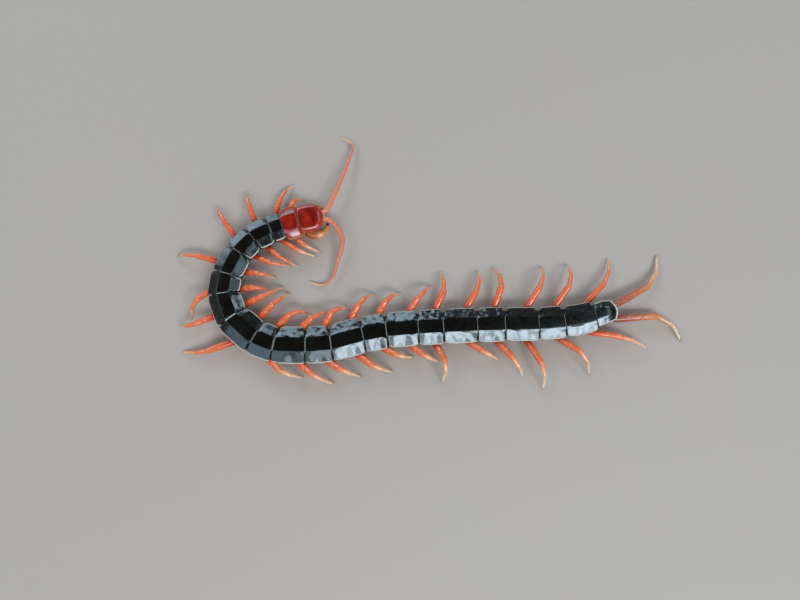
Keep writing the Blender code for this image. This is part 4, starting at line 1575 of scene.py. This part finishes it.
def membrane_model():
    """The unit model of a soft joint, from a sphere: one long, one in radius."""
    deselect()
    bpy.ops.mesh.primitive_uv_sphere_add(segments=12, ring_count=8, radius=1.0)
    soft = bpy.context.object
    soft.data.transform(Matrix.Translation((0.5, 0, 0)) @ Matrix.Diagonal((0.5, 1, 1, 1)))
    return soft


class CENTIPEDE_OT_walking_legs(bpy.types.Operator):
    """Models the twenty pairs of walking legs and their claws"""

    bl_idname = "centipede.walking_legs"
    bl_label = "Walking legs"

    def execute(self, context):
        joints = body_joints()
        orange = walking_leg_cuticle()
        horn = horn_claw()
        models = leg_models(LEG_ARTICLES)
        soft = membrane_model()
        claw = claw_model()
        for side, name in SIDES:
            for number, pose in enumerate(WALKING_LEGS[side], 1):
                matrix = leg_place(joints, number - 1, side, LEG_ROOT)
                line = leg_line(matrix, pose, side, arch_of(pose, stepped(number, LENGTHS_BY_NUMBER)))
                girth = SEGMENT_WIDTHS[number - 1] / max(SEGMENT_WIDTHS)
                girth *= 1.0 if number > 1 else FIRST_LEG_GIRTH
                # The walking legs that face the bright windows are painted pale further up: a painted
                # highlight
                leg = leg_of(models, LEG_ARTICLES, soft, line, girth, number in LIT_PALE_LEGS[side])
                node = f"leg_{name}_{number:02d}"
                finish(leg, f"walking_{node}", orange, "orange_cuticle", [node])
                tip = claw_of(claw, line, girth)
                finish(tip, f"claw_{name}_{number:02d}", horn, "orange_cuticle")
        discard(soft, claw, *models)
        return {"FINISHED"}


class CENTIPEDE_OT_last_legs(bpy.types.Operator):
    """Models the long last pair of legs, with their spines and claws"""

    bl_idname = "centipede.last_legs"
    bl_label = "Last legs"

    def execute(self, context):
        joints = body_joints()
        brown = last_leg_cuticle()
        horn = horn_claw()
        models = leg_models(LAST_LEG_ARTICLES)
        soft = membrane_model()
        claw = claw_model()
        for side, name in SIDES:
            line = leg_line(leg_place(joints, LAST, side, LAST_LEG_ROOT), LAST_LEGS[side], side)
            leg = leg_of(models, LAST_LEG_ARTICLES, soft, line, 1.0, True)
            finish(leg, f"last_leg_{name}", brown, "orange_cuticle", [f"ultimate_leg_{name}"])
            finish(self.spines(line, side), f"last_leg_spines_{name}", horn, "orange_cuticle")
            tip = claw_of(claw, line, LAST_CLAW_GIRTH)
            finish(tip, f"last_claw_{name}", horn, "orange_cuticle")
        discard(soft, claw, *models)
        return {"FINISHED"}

    def spines(self, line, side):
        """Short thorns on the upper inner side of the first article."""
        thorn = turned(THORN, 8)
        low, high, _ = LAST_LEG_ARTICLES[0]
        start = line(low)
        end = line(high)
        along = (end - start).normalized()
        inner = UP.cross(along) * side
        thorns = []
        for share, turn in SPINES:
            angle = math.radians(turn)
            out = inner * math.cos(angle) + UP * math.sin(angle)
            root = start.lerp(end, share) + out * SPINE_OUT * MM
            tip = root + (out * 0.8 + along * 0.6).normalized() * SPINE_LENGTH * MM
            thorns.append(copy_of(thorn, frame_along(root, tip, MM, along)))
        discard(thorn)
        return joined(thorns)


# Stage

FLOOR_SIZE = 12.0
WINDOW_HEIGHT = 1.0
# Rectangles of sky, each by its ends in X and in Y in metres, its brightness and its colour. A flank
# mirrors those on the side that it leans to, and the dimmer ones between are breaks in its gloss
SKY_WINDOWS = (
    ("south_east", (0.02, 0.22), (-0.98, -0.58), 14.0, "#dceefc"),
    ("south_east_middle", (0.32, 0.54), (-0.98, -0.58), 14.0, "#dceefc"),
    ("south_east_end", (0.62, 0.95), (-1.02, -0.55), 15.0, "#dceefc"),
    ("south_east_gap", (0.22, 0.32), (-0.98, -0.58), 6.0, "#cfe8f4"),
    ("south_east_far_gap", (0.54, 0.62), (-0.98, -0.58), 6.0, "#cfe8f4"),
    ("south_east_low", (-0.04, 0.95), (-1.25, -1.03), 5.0, "#cfe8f4"),
    ("south", (-0.19, -0.04), (-0.92, -0.58), 6.0, "#cfe8f4"),
    ("south_west", (-1.2, -0.25), (-0.94, -0.5), 2.6, "#b8dae8"),
    ("north", (-0.38, 0.06), (1.15, 2.2), 6.0, "#bcdaea"),
    ("north_middle", (-0.95, -0.44), (1.1, 2.3), 6.0, "#bcdaea"),
    ("north_west", (-1.95, -1.05), (1.1, 2.3), 5.2, "#bcdaea"),
    ("west", (-1.2, -0.70), (-0.3, 0.9), 2.8, "#dcecf4"),
    ("east", (0.29, 0.66), (-0.36, 0.04), 2.8, "#b8dcea"),
    ("east_low", (0.44, 0.74), (0.09, 0.30), 2.6, "#b8dcea"),
    ("north_east", (0.42, 0.74), (0.44, 0.80), 6.5, "#c0e0ee"),
)
# The dim room by the height of the direction: pale at the floor, darkest overhead
ROOM_STOPS = ((0.0, "#c4c8cc"), (0.35, "#8e969c"), (0.8, "#2c2e30"))


class CENTIPEDE_OT_stage(bpy.types.Operator):
    """Sets the camera, the soft studio lights and a pale floor"""

    bl_idname = "centipede.stage"
    bl_label = "Stage"

    def execute(self, context):
        stage = context.scene.centipede_stage
        self.floor()
        self.camera(context, stage)
        for window in SKY_WINDOWS:
            self.sky_window(*window)
        self.world(context)
        return {"FINISHED"}

    def floor(self):
        """A wide plain floor under the feet."""
        deselect()
        bpy.ops.mesh.primitive_plane_add(size=FLOOR_SIZE, location=(0, 0, 0))
        floor = bpy.context.object
        floor.name = "floor"
        floor.data.materials.append(floor_paint())

    def camera(self, context, stage):
        """A camera that looks down steeply, square to the long straight part."""
        data = bpy.data.cameras.new("camera")
        data.lens = stage.lens
        data.sensor_width = 36.0
        data.clip_start = 0.005
        camera = bpy.data.objects.new("camera", data)
        context.scene.collection.objects.link(camera)
        aim = Vector((stage.aim_x, stage.aim_y, 0.0))
        back = Vector((0, -math.cos(stage.elevation), math.sin(stage.elevation)))
        camera.location = aim + back * stage.distance
        camera.rotation_euler = (math.radians(90) - stage.elevation, 0.0, 0.0)
        context.scene.camera = camera

    def sky_window(self, name, span_x, span_y, brightness, colour):
        """A rectangle of sky between two X and two Y. The brightness is that of its mirror image."""
        width = span_x[1] - span_x[0]
        depth = span_y[1] - span_y[0]
        data = bpy.data.lights.new(name, "AREA")
        data.shape = "RECTANGLE"
        data.size = width
        data.size_y = depth
        data.energy = brightness * math.pi * width * depth
        data.color = linear(colour)[:3]
        lamp = bpy.data.objects.new(name, data)
        lamp.location = (sum(span_x) / 2, sum(span_y) / 2, WINDOW_HEIGHT)
        bpy.context.scene.collection.objects.link(lamp)

    def world(self, context):
        """A dim room, darkest overhead, so that the flat of the back stays black."""
        world = bpy.data.worlds.new("studio")
        world.use_nodes = True
        tree = world.node_tree
        upwards = add_node(tree, "ShaderNodeTexCoord").outputs["Generated"]
        height = add_node(tree, "ShaderNodeSeparateXYZ", links={"Vector": upwards}).outputs["Z"]
        stops = [(place, linear(colour)) for place, colour in ROOM_STOPS]
        background = tree.nodes["Background"]
        tree.links.new(ramp(tree, height, stops), background.inputs["Color"])
        background.inputs["Strength"].default_value = 1.0
        context.scene.world = world
        context.scene.view_settings.view_transform = "Standard"


class CENTIPEDE_PT_panel(bpy.types.Panel):
    """Lists the steps that model the centipede."""

    bl_idname = "CENTIPEDE_PT_panel"
    bl_label = "Centipede"
    bl_space_type = "VIEW_3D"
    bl_region_type = "UI"
    bl_category = "Centipede"

    def draw(self, context):
        for step in STEPS:
            self.layout.operator(step.bl_idname)
        scene = context.scene
        for group in (scene.centipede_sizes, scene.centipede_colours, scene.centipede_stage):
            column = self.layout.column()
            for name in group.bl_rna.properties.keys():
                if name not in ("rna_type", "name"):
                    column.prop(group, name)


STEPS = (
    CENTIPEDE_OT_stage,
    CENTIPEDE_OT_skin,
    CENTIPEDE_OT_back_plates,
    CENTIPEDE_OT_head,
    CENTIPEDE_OT_poison_claws,
    CENTIPEDE_OT_feelers,
    CENTIPEDE_OT_walking_legs,
    CENTIPEDE_OT_last_legs,
)
GROUPS = (CentipedeSizes, CentipedeColours, CentipedeStage)
CLASSES = GROUPS + STEPS + (CENTIPEDE_PT_panel,)


def register():
    for each in CLASSES:
        bpy.utils.register_class(each)
    bpy.types.Scene.centipede_sizes = bpy.props.PointerProperty(type=CentipedeSizes)
    bpy.types.Scene.centipede_colours = bpy.props.PointerProperty(type=CentipedeColours)
    bpy.types.Scene.centipede_stage = bpy.props.PointerProperty(type=CentipedeStage)


def unregister():
    del bpy.types.Scene.centipede_stage
    del bpy.types.Scene.centipede_colours
    del bpy.types.Scene.centipede_sizes
    for each in reversed(CLASSES):
        bpy.utils.unregister_class(each)


def main():
    """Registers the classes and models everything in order."""
    register()
    for step in STEPS:
        getattr(bpy.ops.centipede, step.bl_idname.split(".")[1])()


if __name__ == "__main__":
    main()
